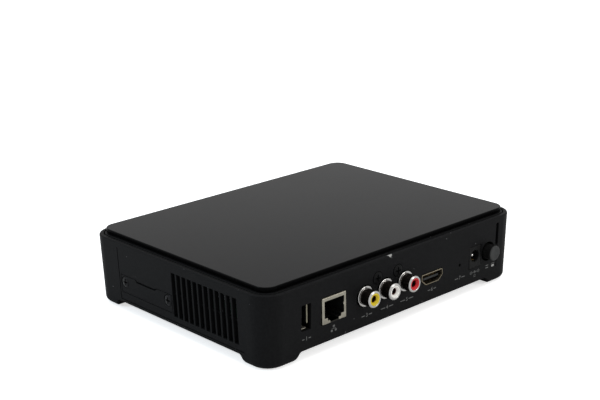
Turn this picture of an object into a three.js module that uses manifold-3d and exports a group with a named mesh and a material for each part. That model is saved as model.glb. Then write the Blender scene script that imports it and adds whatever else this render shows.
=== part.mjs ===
// A flat set-top recorder: a tapered black case on four corner feet, with a raised glossy top plate,
// a rear panel of sockets towards +Y and a grille and a screwed cover plate towards +X.
// Millimetres, +Z up. The part stands on z = 0, centred in plan on the origin.
import * as THREE from "three";
import { mergeVertices } from "three/addons/utils/BufferGeometryUtils.js";
import Module from "manifold-3d";

const wasm = await Module();
wasm.setup();

// Shared clearances and facet counts
const overrun = 2;
const fitGap = 0.3;
const seatGap = 0.05;
const slipGap = 0.12;
const mergeDistance = 0.0001;
const cornerSteps = 8;
const rampSteps = 5;
const footRoundSteps = 4;
const rimRoundSteps = 3;
const roundSides = 28;
const screwSides = 16;
const pinholeSides = 10;
const quarterTurn = Math.PI / 2;
const screwEdgeShare = 0.25;

// Case walls, floor and feet. Heights are from the underside of the feet.
const caseLength = 178;
const caseDepth = 134.4;
const rimHeight = 36.9;
const rimRound = 0.8;
const cornerRadius = 11.5;
const wallDraft = THREE.MathUtils.degToRad(2.25);
const wallThickness = 2.2;
const floorUnderside = 4.75;
const floorThickness = 2;
const footReachX = 17.5;
const footReachY = 15.2;
const footRampX = 5.5;
const footRampY = 5;
const footRound = { reach: 4, rise: 3.2 };
const grooveDepth = 0.4;
const grooveWidth = 0.5;
const halfLength = caseLength / 2;
const halfDepth = caseDepth / 2;

// Lid inside the walls, its bosses, and the plate on top
const lid = { thickness: 1.8, lipDepth: 3, lipWall: 1.4, edgeRound: 0.25, bossRadius: 3.25, bossEnd: 12 };
const plate = { inset: 4.05, rise: 2.75, cornerRadius: 6.6, edgeRound: 0.35, bond: 0.4, bondInset: 1.5 };

// Rubber rings under the feet, and the screws that pass through them
const pad = { radius: 4.8, holeRadius: 3.2, thickness: 1.15, recess: 0.85, outerMargin: 3.2 };
const caseScrew = { headRadius: 2.7, headHeight: 1.8, shankRadius: 1.4, length: 15.4, sunk: 2.6 };
const caseBossRadius = 3.5;

// Main board: it fills the case but for a gap at the sides and at the front
const board = {
  thickness: 1.6,
  rise: 4.85,
  sideGap: 15.5,
  frontGap: 7.2,
  postRadius: 3,
  holeRadius: 1.5,
  screwInset: 5.5,
  socketStrip: 27,
  rowFromFront: 38,
};
const boardScrew = { headRadius: 2.5, headHeight: 1.5, shankRadius: 1.1, length: 6 };

// Places of the rear sockets along the wall, as shares of half the case's length from its middle
const socketShares = {
  typeA: 0.7135,
  networkJack: 0.5172,
  phonoMiddle: 0.1258,
  videoSocket: -0.2579,
  resetSwitch: -0.4989,
  powerSwitch: -0.7517,
};

// Rear sockets and switches: rise is the height above the board
const typeA = {
  x: socketShares.typeA * halfLength,
  rise: 1.4,
  width: 5.6,
  height: 12.7,
  wall: 0.3,
  depth: 14,
  tongueThickness: 1.4,
  tongueEdge: 0.35,
  tongueEndGap: 0.5,
  tongueSetBack: 1.4,
  baseDepth: 3,
};
const networkJack = {
  x: socketShares.networkJack * halfLength,
  rise: 0.95,
  width: 15.5,
  height: 13.15,
  depth: 16,
  wall: 0.3,
  faceThickness: 0.4,
  proud: 0.35,
  mouthHalf: 6.35,
  mouthBottom: 2.9,
  mouthTop: 11.35,
  stepHalf: 4.3,
  stepBottom: 1.5,
  latchHalf: 2.8,
  latchBottom: 0.5,
  mouthDepth: 12,
};
const phono = {
  middleX: socketShares.phonoMiddle * halfLength,
  pitch: 14,
  rise: 7.4,
  reach: 6.8,
  barrelRadius: 4.2,
  boreRadius: 3.4,
  rimRound: 0.3,
  flangeRadius: 5.15,
  flangeProud: 0.3,
  holeRadius: 5.55,
  insulatorSetBack: 0.5,
  contactRadius: 1.55,
  contactDepth: 8,
  bodyEnd: 6.2,
  bodyHeight: 17.8,
  bodyDepth: 10,
};
const phonoColours = { yellow: 0xf2c811, white: 0xf1efe9, red: 0xc8162a };
const panelScrew = {
  fromPhono: 8.4,
  pitch: 14.2,
  rise: 14.3,
  headRadius: 3,
  headHeight: 1.5,
  shankRadius: 1.4,
  length: 8,
  recessDepth: 1.2,
};
const videoSocket = {
  x: socketShares.videoSocket * halfLength,
  rise: 0.8,
  width: 15.6,
  height: 5.9,
  shoulder: 2.6,
  footHalf: 4.7,
  topRound: 0.9,
  wall: 0.4,
  depth: 12,
  proud: 0.15,
  tongueHalf: 5.6,
  tongueThickness: 1.3,
  tongueSetBack: 1,
  baseDepth: 3,
};
const resetSwitch = {
  x: socketShares.resetSwitch * halfLength,
  rise: 4.4,
  pinholeRadius: 0.8,
  plungerRadius: 1.75,
  plungerLength: 2.6,
  plungerHold: 1,
  bodyHalf: 3,
  bodyDepth: 3.6,
  setBack: 2.4,
  travel: 0.25,
};
const powerJack = {
  fromSwitch: 10.45,
  width: 8.95,
  height: 11.55,
  depth: 14,
  boreRise: 6.3,
  boreRadius: 3.15,
  boreDepth: 10,
  pinRadius: 1,
  pinSetBack: 1.4,
  leafHalf: 1,
  leafDrop: 2.45,
  leafThickness: 0.3,
  leafSetBack: 1.8,
  tipAngles: [30, 60],
};
const powerSwitch = {
  x: socketShares.powerSwitch * halfLength,
  rise: 6.2,
  holeRadius: 5.1,
  capRadius: 4,
  capProud: 4.8,
  capLength: 11,
  capRound: 0.4,
  stemHalf: 1.45,
  stemInCap: 4,
  stemInBody: 3,
  travel: 3,
  bodyHalf: 4.25,
  bodyDepth: 12,
};
const lockSlot = { fromSwitch: 6.9, halfWidth: 0.95, bottom: 21.5, top: 33.5 };
const rearGroove = { fromSwitch: 7.4, bottom: 8.9, top: 33.5 };

// Grille and cover plate on the +X wall
const grille = {
  count: 12,
  start: -0.6,
  pitch: 4.1,
  slot: 2.9,
  bottom: 9.2,
  top: 32,
  ribHeight: 1,
  ribSetBack: 1,
};
const cover = {
  front: -43.2,
  rear: -1.2,
  bottom: 10.4,
  top: 20.2,
  thickness: 1.2,
  gap: 0.2,
  notchFront: -31,
  notchRear: -13.1,
  notchFloorFront: -30,
  notchFloorRear: -15.2,
  notchDepth: 1.7,
  fingerSlot: 0.7,
  doorInset: 6.7,
  doorLip: 1.9,
};
const coverScrew = { fromEnd: 3.5, drop: 3.8, headRadius: 2.75, headHeight: 1, shankRadius: 1.1, length: 6 };
const coverBoss = { radius: 2.6, length: 4 };
const sideGroove = { front: -44.4, rear: 51, bottom: 6.35, top: 33.9 };

// Window in the front wall, and the slots in the floor
const frontWindow = { fromSide: 35, halfWidth: 18, bottom: 15, top: 25, thickness: 1.4 };
const floorVent = { count: 10, fromSide: 31, pitch: 6.5, width: 2.6, fromFront: 25.2, length: 32 };

// Disk, the sheet bracket that carries it over the board, and the ribbon between them
const disk = { fromSide: 25.5, fromFront: 10.2, length: 100, width: 69.85, height: 9.5, edgeRound: 1.5 };
const bracket = { sheet: 1, clearance: 0.8, flange: 4, legFrom: 4, legLength: 10, legPitch: 56 };
const ribbon = { plug: 4, plugHeight: 3, halfWidth: 12, thickness: 0.8, rise: 3 };

// Parts on the board
const processor = { fromSide: 35, fromCard: 2.5, half: 10, height: 1.8 };
const heatSink = { half: 12.5, base: 2, height: 6, fins: 9, finThickness: 1 };
const memoryChip = { fromSide: 39, fromProcessor: 26, pitch: 16, halfX: 6, halfY: 4.5, height: 1.2 };
const cardSocket = {
  reach: 25,
  height: 2.8,
  slotHeight: 1.6,
  slotInset: 1.5,
  wallGap: 1.2,
};
const coinCell = { fromEdge: 58, radius: 6.25, height: 2, holderWall: 1.5, holderFloor: 1 };
const inductor = { fromEdge: 17, half: 6, height: 6, chamfer: 1.5 };
const capacitor = { radius: 3.15, height: 7.7, groove: 0.4, grooveRise: 1.5 };
const capacitorFromEdge = { capacitor_a: 30, capacitor_b: 41, capacitor_c: 78 };
const infrared = {
  fromWindow: 12,
  setBack: 4,
  halfX: 3.2,
  halfY: 2,
  height: 8,
  domeRadius: 2.2,
  domeRise: 5,
};
const lightPipe = { fromWindow: 2, radius: 1.5, rise: 6, length: 8, footHalf: 1.5 };

// Heights and places that follow from the sizes above
const floorTop = floorUnderside + floorThickness;
const boardUnderside = floorTop + board.rise;
const boardTop = boardUnderside + board.thickness;
const onBoard = boardTop + seatGap;
const lidUnderside = rimHeight - lid.thickness;
const padProud = pad.thickness - pad.recess;
const socketFront = rearFace(boardTop) - wallThickness - fitGap;
const footCentreX = halfLength - (footReachX + wallLean(0) + pad.outerMargin) / 2;
const footCentreY = halfDepth - (footReachY + wallLean(0) + pad.outerMargin) / 2;
const caseScrewHeadBase = caseScrew.sunk + caseScrew.headHeight;
const phonoHeight = boardTop + phono.rise;
const phonoFront = rearFace(phonoHeight) + phono.reach;
const boardRear = socketFront - fitGap;
const boardFront = board.frontGap - halfDepth;
const boardEdge = halfLength - board.sideGap;
const boardScrewX = boardEdge - board.screwInset;
const boardScrewPlaces = [-boardScrewX, boardScrewX].flatMap((x) => [
  [x, boardFront + board.screwInset],
  [x, boardRear - board.socketStrip],
]);
const rowY = boardFront + board.rowFromFront;
const jackX = powerSwitch.x + powerJack.fromSwitch;
const windowX = halfLength - frontWindow.fromSide;

// How far a wall stands in from the rim's edge at height z.
function wallLean(z) {
  return (rimHeight - z) * Math.tan(wallDraft);
}

function rearFace(z) {
  return halfDepth - wallLean(z);
}

function sideFace(z) {
  return halfLength - wallLean(z);
}

// A closed geometry as a solid that can be joined and cut.
function solid(geometry) {
  const open = geometry.index ? geometry.toNonIndexed() : geometry;
  open.deleteAttribute("normal");
  open.deleteAttribute("uv");
  const merged = mergeVertices(open, mergeDistance);
  const corners = merged.index.array;
  const triVerts = [];
  for (let i = 0; i < corners.length; i += 3) {
    const [a, b, c] = corners.slice(i, i + 3);
    if (a !== b && b !== c && c !== a) triVerts.push(a, b, c);
  }
  return new wasm.Manifold(
    new wasm.Mesh({
      numProp: 3,
      vertProperties: merged.attributes.position.array,
      triVerts: new Uint32Array(triVerts),
    }),
  );
}

// A box between a low and a high value along each axis.
function block([x0, x1], [y0, y1], [z0, z1]) {
  const box = new THREE.BoxGeometry(x1 - x0, y1 - y0, z1 - z0);
  return solid(box.translate((x0 + x1) / 2, (y0 + y1) / 2, (z0 + z1) / 2));
}

// The span of a thing by its middle and half its size.
function about(middle, half) {
  return [middle - half, middle + half];
}

// The turns that carry a shape made along Z to another axis: x = (y, z) outline, y = (x, z) outline.
const alongX = new THREE.Matrix4().makeBasis(
  new THREE.Vector3(0, 1, 0),
  new THREE.Vector3(0, 0, 1),
  new THREE.Vector3(1, 0, 0),
);
const alongY = new THREE.Matrix4().makeBasis(
  new THREE.Vector3(1, 0, 0),
  new THREE.Vector3(0, 0, 1),
  new THREE.Vector3(0, -1, 0),
);

// An outline of [across, up] points drawn out along an axis between two values.
function prism(axis, points, [from, to]) {
  const shape = new THREE.Shape(points.map(([across, up]) => new THREE.Vector2(across, up)));
  const bar = new THREE.ExtrudeGeometry(shape, { depth: to - from, bevelEnabled: false });
  if (axis === "x") bar.applyMatrix4(alongX).translate(from, 0, 0);
  if (axis === "y") bar.applyMatrix4(alongY).translate(0, to, 0);
  if (axis === "z") bar.translate(0, 0, from);
  return solid(bar);
}

// A shape turned about +Z from a profile of [radius, height] points that climbs the outside.
function turned(profile, sides = roundSides) {
  const points = profile.map(([radius, height]) => new THREE.Vector2(radius, height));
  const lathe = new THREE.LatheGeometry(points, sides);
  return solid(lathe.rotateX(quarterTurn));
}

// A round rod along an axis between two values, centred at [a, b] on the other two axes.
function rod(axis, radius, [from, to], [a, b], sides = roundSides) {
  const cylinder = new THREE.CylinderGeometry(radius, radius, to - from, sides);
  const middle = (from + to) / 2;
  if (axis === "x") cylinder.rotateZ(quarterTurn).translate(middle, a, b);
  if (axis === "y") cylinder.translate(a, middle, b);
  if (axis === "z") cylinder.rotateX(quarterTurn).translate(a, b, middle);
  return solid(cylinder);
}

// The points of a rectangle with round corners.
function roundedOutline(halfX, halfY, radius) {
  const points = [];
  for (let corner = 0; corner < 4; corner++) {
    const start = corner * quarterTurn;
    const centreX = (halfX - radius) * Math.sign(Math.cos(start + quarterTurn / 2));
    const centreY = (halfY - radius) * Math.sign(Math.sin(start + quarterTurn / 2));
    for (let step = 0; step <= cornerSteps; step++) {
      const angle = start + (step / cornerSteps) * quarterTurn;
      points.push(new THREE.Vector2(centreX + radius * Math.cos(angle), centreY + radius * Math.sin(angle)));
    }
  }
  return points;
}

// A closed solid through a pile of outlines that all have as many points.
function stacked(levels) {
  const count = levels[0].points.length;
  const last = (levels.length - 1) * count;
  const positions = levels.flatMap(({ points, z }) => points.flatMap((point) => [point.x, point.y, z]));
  const faces = [];
  for (let start = 0; start < last; start += count) {
    for (let i = 0; i < count; i++) {
      const a = start + i;
      const b = start + ((i + 1) % count);
      faces.push(a, b, b + count, a, b + count, a + count);
    }
  }
  for (const [a, b, c] of THREE.ShapeUtils.triangulateShape(levels[0].points, [])) {
    faces.push(a, c, b, a + last, b + last, c + last);
  }
  const pile = new THREE.BufferGeometry();
  pile.setAttribute("position", new THREE.Float32BufferAttribute(positions, 3));
  pile.setIndex(faces);
  return solid(pile);
}

// The case's outline at a height, drawn in from the outer face by an inset.
function caseSection(z, inset) {
  const lean = wallLean(z) + inset;
  return { z, points: roundedOutline(halfLength - lean, halfDepth - lean, cornerRadius - lean) };
}

// The space inside the outer faces, drawn in by an inset, between two heights.
function caseSpace(inset, [low, high]) {
  return stacked([caseSection(low, inset), caseSection(high, inset)]);
}

// What a cutter takes out of a wall when it goes only so deep.
function shallow(cutter, depth) {
  return cutter.subtract(caseSpace(depth, [-overrun, rimHeight + overrun]));
}

// The slice of a shape that follows the wall between two depths under its outer face.
function wallSlice(shape, near, far) {
  const inside = caseSpace(near, [-overrun, rimHeight + overrun]);
  return shallow(shape, far).intersect(inside);
}

// Each of the four corners as [x sign, y sign, name].
const corners = [
  [-1, -1, "front_left"],
  [1, -1, "front_right"],
  [-1, 1, "rear_left"],
  [1, 1, "rear_right"],
];

// A cross-head screw along +Z, its head's face at zero and its shank below.
function crossHeadScrew({ headRadius, headHeight, shankRadius, length }, countersunk = false) {
  const recessLengthShare = 0.62;
  const recessWidthShare = 0.14;
  const recessDepthShare = 0.6;
  const edge = headHeight * screwEdgeShare;
  const head = countersunk
    ? [
        [shankRadius, -headHeight],
        [headRadius, -edge],
        [headRadius, 0],
      ]
    : [
        [shankRadius, -headHeight],
        [headRadius, -headHeight],
        [headRadius, -edge],
        [headRadius - edge, 0],
      ];
  const body = turned([[0, -length], [shankRadius, -length], ...head, [0, 0]], screwSides);
  const reach = headRadius * recessLengthShare;
  const half = headRadius * recessWidthShare;
  const depth = [-headHeight * recessDepthShare, overrun];
  const slotA = block([-reach, reach], [-half, half], depth);
  const slotB = block([-half, half], [-reach, reach], depth);
  return body.subtract(slotA.add(slotB));
}

// The span through the rear wall and through the side wall.
const rearWall = [rearFace(0) - wallThickness - overrun, halfDepth + overrun];
const frontWall = [-rearWall[1], -rearWall[0]];
const sideWall = [sideFace(0) - wallThickness - overrun, halfLength + overrun];

// The arch between two feet as an outline, its ends easing down into the feet.
function archOutline(halfSpan, ramp) {
  const climb = [];
  for (let step = 0; step <= rampSteps; step++) {
    const share = step / rampSteps;
    climb.push([halfSpan - ramp * share, (floorUnderside * (1 - Math.cos(Math.PI * share))) / 2]);
  }
  const right = [[halfSpan, -overrun], ...climb];
  const left = right.map(([across, up]) => [-across, up]).reverse();
  return [...right, ...left];
}

function videoOutline(grow) {
  const half = videoSocket.width / 2 + grow;
  const foot = videoSocket.footHalf + grow;
  const round = videoSocket.topRound;
  const bottom = boardTop + videoSocket.rise - grow;
  const top = boardTop + videoSocket.rise + videoSocket.height + grow;
  const shoulder = boardTop + videoSocket.rise + videoSocket.shoulder;
  const right = [
    [foot, bottom],
    [half, shoulder],
    [half, top - round],
    [half - round, top],
  ];
  const left = right.map(([across, up]) => [-across, up]).reverse();
  return [...right, ...left].map(([across, up]) => [videoSocket.x + across, up]);
}

function networkMouth() {
  const { mouthHalf, mouthBottom, mouthTop, stepHalf, stepBottom, latchHalf, latchBottom } = networkJack;
  const right = [
    [latchHalf, latchBottom],
    [latchHalf, stepBottom],
    [stepHalf, stepBottom],
    [stepHalf, mouthBottom],
    [mouthHalf, mouthBottom],
    [mouthHalf, mouthTop],
  ];
  const left = right.map(([across, up]) => [-across, up]).reverse();
  const bottom = boardTop + networkJack.rise;
  return [...right, ...left].map(([across, up]) => [networkJack.x + across, bottom + up]);
}

function phonoPlaces() {
  return [1, 0, -1].map((step) => phono.middleX + step * phono.pitch);
}

function panelScrewPlaces() {
  return [0, 1].map((index) => phonoPlaces()[0] - panelScrew.fromPhono - index * panelScrew.pitch);
}

function coverScrewPlaces() {
  return [cover.front + coverScrew.fromEnd, cover.rear - coverScrew.fromEnd];
}

function coverOutline(gap, notchFloor, notchGap) {
  const top = cover.top - gap;
  return [
    [cover.front + gap, cover.bottom + gap],
    [cover.rear - gap, cover.bottom + gap],
    [cover.rear - gap, top],
    [cover.notchRear - notchGap, top],
    [cover.notchFloorRear - notchGap, notchFloor],
    [cover.notchFloorFront + notchGap, notchFloor],
    [cover.notchFront + notchGap, top],
    [cover.front + gap, top],
  ];
}

const coverScrewHeight = cover.top - coverScrew.drop;
const coverScrewFace = sideFace(coverScrewHeight) - slipGap;
const panelScrewHeight = boardTop + panelScrew.rise;
const resetHeight = boardTop + resetSwitch.rise;
const powerHeight = boardTop + powerSwitch.rise;
const typeAHeights = [boardTop + typeA.rise, boardTop + typeA.rise + typeA.height];
const networkHeights = [boardTop + networkJack.rise, boardTop + networkJack.rise + networkJack.height];
const jackHeights = [onBoard, onBoard + powerJack.height];
const jackFront = rearFace((jackHeights[0] + jackHeights[1]) / 2);
const wider = ([low, high], by) => [low - by, high + by];

// Every hole, recess and groove that the rear sockets and switches need in the wall.
function rearCuts() {
  const cuts = [
    block(about(typeA.x, typeA.width / 2 + slipGap), rearWall, wider(typeAHeights, slipGap)),
    block(about(networkJack.x, networkJack.width / 2 + fitGap), rearWall, wider(networkHeights, fitGap)),
    prism("y", videoOutline(fitGap), rearWall),
    rod("y", resetSwitch.pinholeRadius, rearWall, [resetSwitch.x, resetHeight], pinholeSides),
    block(about(jackX, powerJack.width / 2 + fitGap), rearWall, wider(jackHeights, fitGap)),
    rod("y", powerSwitch.holeRadius, rearWall, [powerSwitch.x, powerHeight]),
    block(
      about(powerSwitch.x - lockSlot.fromSwitch, lockSlot.halfWidth),
      rearWall,
      [lockSlot.bottom, lockSlot.top],
    ),
    shallow(
      block(
        about(powerSwitch.x - rearGroove.fromSwitch, grooveWidth / 2),
        rearWall,
        [rearGroove.bottom, rearGroove.top],
      ),
      grooveDepth,
    ),
  ];
  for (const x of phonoPlaces()) {
    cuts.push(rod("y", phono.holeRadius, rearWall, [x, phonoHeight]));
  }
  for (const x of panelScrewPlaces()) {
    const recess = rod("y", panelScrew.headRadius + fitGap, rearWall, [x, panelScrewHeight], screwSides);
    cuts.push(shallow(recess, panelScrew.recessDepth));
    cuts.push(rod("y", panelScrew.shankRadius + fitGap, rearWall, [x, panelScrewHeight], screwSides));
  }
  return cuts;
}

function grilleCuts() {
  const ribHeight = (grille.bottom + grille.top) / 2;
  const ribFront = sideFace(ribHeight) - grille.ribSetBack;
  const end = grille.start + grille.count * grille.pitch;
  const rib = block([sideWall[0], ribFront], [grille.start, end], about(ribHeight, grille.ribHeight / 2));
  const cuts = [];
  for (let index = 0; index < grille.count; index++) {
    const start = grille.start + index * grille.pitch;
    cuts.push(block(sideWall, [start, start + grille.slot], [grille.bottom, grille.top]).subtract(rib));
  }
  return cuts;
}

// The recess that the cover plate lies in, the door behind it, its screw holes and the fine grooves.
function sideCuts() {
  const tabBottom = cover.top - cover.notchDepth + cover.fingerSlot;
  const recess = prism("x", coverOutline(0, tabBottom, cover.gap), sideWall);
  const cuts = [
    shallow(recess, cover.thickness + seatGap),
    block(
      sideWall,
      [cover.front + cover.doorInset, cover.rear - cover.doorInset],
      [cover.bottom + cover.doorLip, cover.top - cover.notchDepth - cover.doorLip],
    ),
  ];
  for (const y of coverScrewPlaces()) {
    const hole = [sideFace(coverScrewHeight) - coverScrew.length - fitGap, sideWall[1]];
    cuts.push(rod("x", coverScrew.shankRadius + slipGap, hole, [y, coverScrewHeight], screwSides));
  }
  const upright = block(
    sideWall,
    about(sideGroove.front, grooveWidth / 2),
    [sideGroove.bottom, sideGroove.top],
  );
  const lying = block(
    sideWall,
    [sideGroove.front, sideGroove.rear],
    about(sideGroove.bottom, grooveWidth / 2),
  );
  cuts.push(shallow(upright.add(lying), grooveDepth));
  return cuts;
}

function windowBlock(gap) {
  const { halfWidth, bottom, top } = frontWindow;
  return block(about(windowX, halfWidth - gap), frontWall, [bottom + gap, top - gap]);
}

// The window's recess, the hole behind it, and the slots in the floor.
function frontAndFloorCuts() {
  const cuts = [shallow(windowBlock(0), frontWindow.thickness + seatGap), windowBlock(frontWindow.thickness)];
  const { count, fromSide, pitch, width, fromFront, length } = floorVent;
  const front = fromFront - halfDepth;
  for (let index = 0; index < count; index++) {
    const start = fromSide - halfLength + index * pitch;
    cuts.push(block([start, start + width], [front, front + length], [0, floorTop + overrun]));
  }
  return cuts;
}

// Bosses, posts and screw holes of the lower case.
function addCasePosts(shell) {
  let joined = shell;
  const sink = floorThickness / 2;
  const bossTop = lid.bossEnd - fitGap;
  for (const [signX, signY] of corners) {
    const at = [signX * footCentreX, signY * footCentreY];
    joined = joined
      .add(rod("z", caseBossRadius, [floorTop - sink, bossTop], at, screwSides))
      .subtract(rod("z", caseScrew.shankRadius + fitGap, [0, bossTop + overrun], at, screwSides))
      .subtract(rod("z", caseScrew.headRadius + fitGap, [-overrun, caseScrewHeadBase], at, screwSides))
      .subtract(rod("z", pad.radius + slipGap, [-overrun, pad.recess], at));
  }
  for (const at of boardScrewPlaces) {
    joined = joined
      .add(rod("z", board.postRadius, [floorTop - sink, boardUnderside - seatGap], at, screwSides))
      .subtract(rod("z", boardScrew.shankRadius + slipGap, [floorTop, boardUnderside], at, screwSides));
  }
  for (const y of coverScrewPlaces()) {
    const inner = sideFace(coverScrewHeight) - wallThickness;
    joined = joined.add(
      rod("x", coverBoss.radius, [inner - coverBoss.length, inner + sink], [y, coverScrewHeight], screwSides),
    );
  }
  return joined;
}

function lowerCase() {
  const levels = [];
  for (let step = 0; step <= footRoundSteps; step++) {
    const turn = (step / footRoundSteps) * quarterTurn;
    levels.push(caseSection(footRound.rise * (1 - Math.cos(turn)), footRound.reach * (1 - Math.sin(turn))));
  }
  for (let step = 0; step <= rimRoundSteps; step++) {
    const turn = (step / rimRoundSteps) * quarterTurn;
    levels.push(caseSection(rimHeight - rimRound * (1 - Math.sin(turn)), rimRound * (1 - Math.cos(turn))));
  }
  const spanX = halfLength - footReachX;
  const spanY = halfDepth - footReachY;
  const shell = stacked(levels)
    .subtract(prism("y", archOutline(spanX, footRampX), [-caseDepth, caseDepth]))
    .subtract(prism("x", archOutline(spanY, footRampY), [-caseLength, caseLength]))
    .subtract(caseSpace(wallThickness, [floorTop, rimHeight + overrun]));
  const cuts = [...rearCuts(), ...grilleCuts(), ...sideCuts(), ...frontAndFloorCuts()];
  return cuts.reduce((rest, cut) => rest.subtract(cut), addCasePosts(shell));
}

function topCover() {
  const lipBottom = lidUnderside - lid.lipDepth;
  const lidInset = wallThickness + fitGap;
  let joined = stacked([
    caseSection(lipBottom, lidInset),
    caseSection(rimHeight - lid.edgeRound, lidInset),
    caseSection(rimHeight, lidInset + lid.edgeRound),
  ]).subtract(caseSpace(lidInset + lid.lipWall, [lipBottom - overrun, lidUnderside]));
  for (const [signX, signY] of corners) {
    const at = [signX * footCentreX, signY * footCentreY];
    const pilotTop = caseScrew.sunk + caseScrew.length + fitGap;
    joined = joined
      .add(rod("z", lid.bossRadius, [lid.bossEnd, lidUnderside + lid.thickness / 2], at, screwSides))
      .subtract(rod("z", caseScrew.shankRadius + slipGap, [lid.bossEnd - overrun, pilotTop], at, screwSides));
  }
  return joined;
}

function plateOutline(inset) {
  const halfX = halfLength - plate.inset - inset;
  const halfY = halfDepth - plate.inset - inset;
  return roundedOutline(halfX, halfY, plate.cornerRadius - inset);
}

function topPlate() {
  const top = rimHeight + plate.rise;
  return stacked([
    { z: rimHeight + plate.bond, points: plateOutline(0) },
    { z: top - plate.edgeRound, points: plateOutline(0) },
    { z: top, points: plateOutline(plate.edgeRound) },
  ]);
}

function plateAdhesive() {
  const points = plateOutline(plate.bondInset);
  return stacked([
    { z: rimHeight + seatGap, points },
    { z: rimHeight + plate.bond - seatGap, points },
  ]);
}

// Cover plate: it follows the wall, and its notch clears the wall's tab.
function sideCoverPlate() {
  const outline = coverOutline(cover.gap, cover.top - cover.notchDepth, 0);
  let sheet = wallSlice(prism("x", outline, sideWall), 0, cover.thickness);
  const { headRadius, headHeight, shankRadius } = coverScrew;
  const countersink = turned(
    [
      [0, -cover.thickness - overrun],
      [shankRadius + fitGap, -cover.thickness - overrun],
      [shankRadius + fitGap, -headHeight],
      [headRadius + fitGap, -headHeight * screwEdgeShare],
      [headRadius + fitGap, overrun],
      [0, overrun],
    ],
    screwSides,
  ).rotate([0, THREE.MathUtils.radToDeg(quarterTurn), 0]);
  for (const y of coverScrewPlaces()) {
    sheet = sheet.subtract(countersink.translate([coverScrewFace, y, coverScrewHeight]));
  }
  return sheet;
}

// Type A socket, standing on edge: a tin shell round a plastic tongue
function typeAShell() {
  const front = rearFace(typeAHeights[0]);
  const outer = block(about(typeA.x, typeA.width / 2), [front - typeA.depth, front], typeAHeights);
  const inner = block(
    about(typeA.x, typeA.width / 2 - typeA.wall),
    [front - typeA.depth + typeA.wall, front + overrun],
    wider(typeAHeights, -typeA.wall),
  );
  return outer.subtract(inner);
}

function typeATongue() {
  const { wall, depth, tongueEdge, tongueThickness, tongueEndGap, tongueSetBack, baseDepth } = typeA;
  const front = rearFace(typeAHeights[0]);
  const back = front - depth + wall + seatGap;
  const inside = about(typeA.x, typeA.width / 2 - wall - slipGap);
  const heights = wider(typeAHeights, -wall - slipGap);
  const left = inside[0] + tongueEdge;
  const base = block(inside, [back, back + baseDepth], heights);
  const tongue = block(
    [left, left + tongueThickness],
    [back, front - tongueSetBack],
    wider(heights, -tongueEndGap),
  );
  return base.add(tongue);
}

// Network jack: a folded tin shield, open underneath, over a moulded housing
const networkFront = rearFace(networkHeights[1]) + networkJack.proud;

function networkShield() {
  const { x, width, depth, wall, faceThickness } = networkJack;
  const outer = block(about(x, width / 2), [networkFront - depth, networkFront], networkHeights);
  const inner = block(
    about(x, width / 2 - wall),
    [networkFront - depth + wall, networkFront - faceThickness],
    [networkHeights[0] - overrun, networkHeights[1] - wall],
  );
  return outer.subtract(inner).subtract(prism("y", networkMouth(), [networkFront - depth / 2, caseDepth]));
}

function networkHousing() {
  const { x, width, depth, wall, faceThickness, mouthDepth } = networkJack;
  const front = networkFront - faceThickness - seatGap;
  const body = block(
    about(x, width / 2 - wall - slipGap),
    [networkFront - depth + wall + slipGap, front],
    [onBoard, networkHeights[1] - wall - slipGap],
  );
  // Below the shield the housing stops behind the wall
  const step = block(about(x, width), [socketFront, front + overrun], [boardTop, networkHeights[0]]);
  return body.subtract(step).subtract(prism("y", networkMouth(), [front - mouthDepth, front + overrun]));
}

// Phono sockets: three metal barrels on one moulded body
function phonoBody() {
  const { middleX, pitch, bodyEnd, bodyHeight, bodyDepth } = phono;
  const body = block(
    about(middleX, pitch + bodyEnd),
    [socketFront - bodyDepth, socketFront],
    [onBoard, onBoard + bodyHeight],
  );
  const pilot = [rearFace(panelScrewHeight) - panelScrew.length - fitGap, socketFront + overrun];
  return panelScrewPlaces().reduce(
    (rest, x) =>
      rest.subtract(rod("y", panelScrew.shankRadius + slipGap, pilot, [x, panelScrewHeight], screwSides)),
    body,
  );
}

// A barrel along +Z from its flange's back.
function phonoBarrel() {
  const { boreRadius, flangeRadius, barrelRadius, rimRound, flangeProud } = phono;
  const back = socketFront + seatGap;
  const flange = rearFace(phonoHeight) + flangeProud - back;
  const front = phonoFront - back;
  return turned([
    [boreRadius, 0],
    [flangeRadius, 0],
    [flangeRadius, flange],
    [barrelRadius, flange],
    [barrelRadius, front - rimRound],
    [barrelRadius - rimRound, front],
    [boreRadius, front],
    [boreRadius, 0],
  ]);
}

// The plastic core of a barrel, with the hole for the plug's pin.
function phonoInsulator() {
  const { boreRadius, contactRadius, contactDepth, insulatorSetBack } = phono;
  const front = phonoFront - socketFront - seatGap - insulatorSetBack;
  const radius = boreRadius - slipGap;
  return turned([
    [0, 0],
    [radius, 0],
    [radius, front],
    [contactRadius, front],
    [contactRadius, front - contactDepth],
    [0, front - contactDepth],
  ]);
}

// Digital video socket: a shell with sloped lower corners round a flat tongue
const videoFront = rearFace(boardTop + videoSocket.rise + videoSocket.height) + videoSocket.proud;

function videoShell() {
  const span = [videoFront - videoSocket.depth, videoFront];
  const bore = prism("y", videoOutline(-videoSocket.wall), wider(span, overrun));
  return prism("y", videoOutline(0), span).subtract(bore);
}

function videoTongue() {
  const { x, rise, height, wall, depth, tongueHalf, tongueThickness, tongueSetBack, baseDepth } = videoSocket;
  const back = videoFront - depth;
  const base = prism("y", videoOutline(-wall - slipGap), [back, back + baseDepth]);
  const middle = boardTop + rise + height / 2;
  const tongue = block(
    about(x, tongueHalf),
    [back, videoFront - tongueSetBack],
    about(middle, tongueThickness / 2),
  );
  return base.add(tongue);
}

// Reset switch: a plunger held in a small square body, behind the pinhole
const resetBodyFront = socketFront - resetSwitch.setBack;

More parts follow.
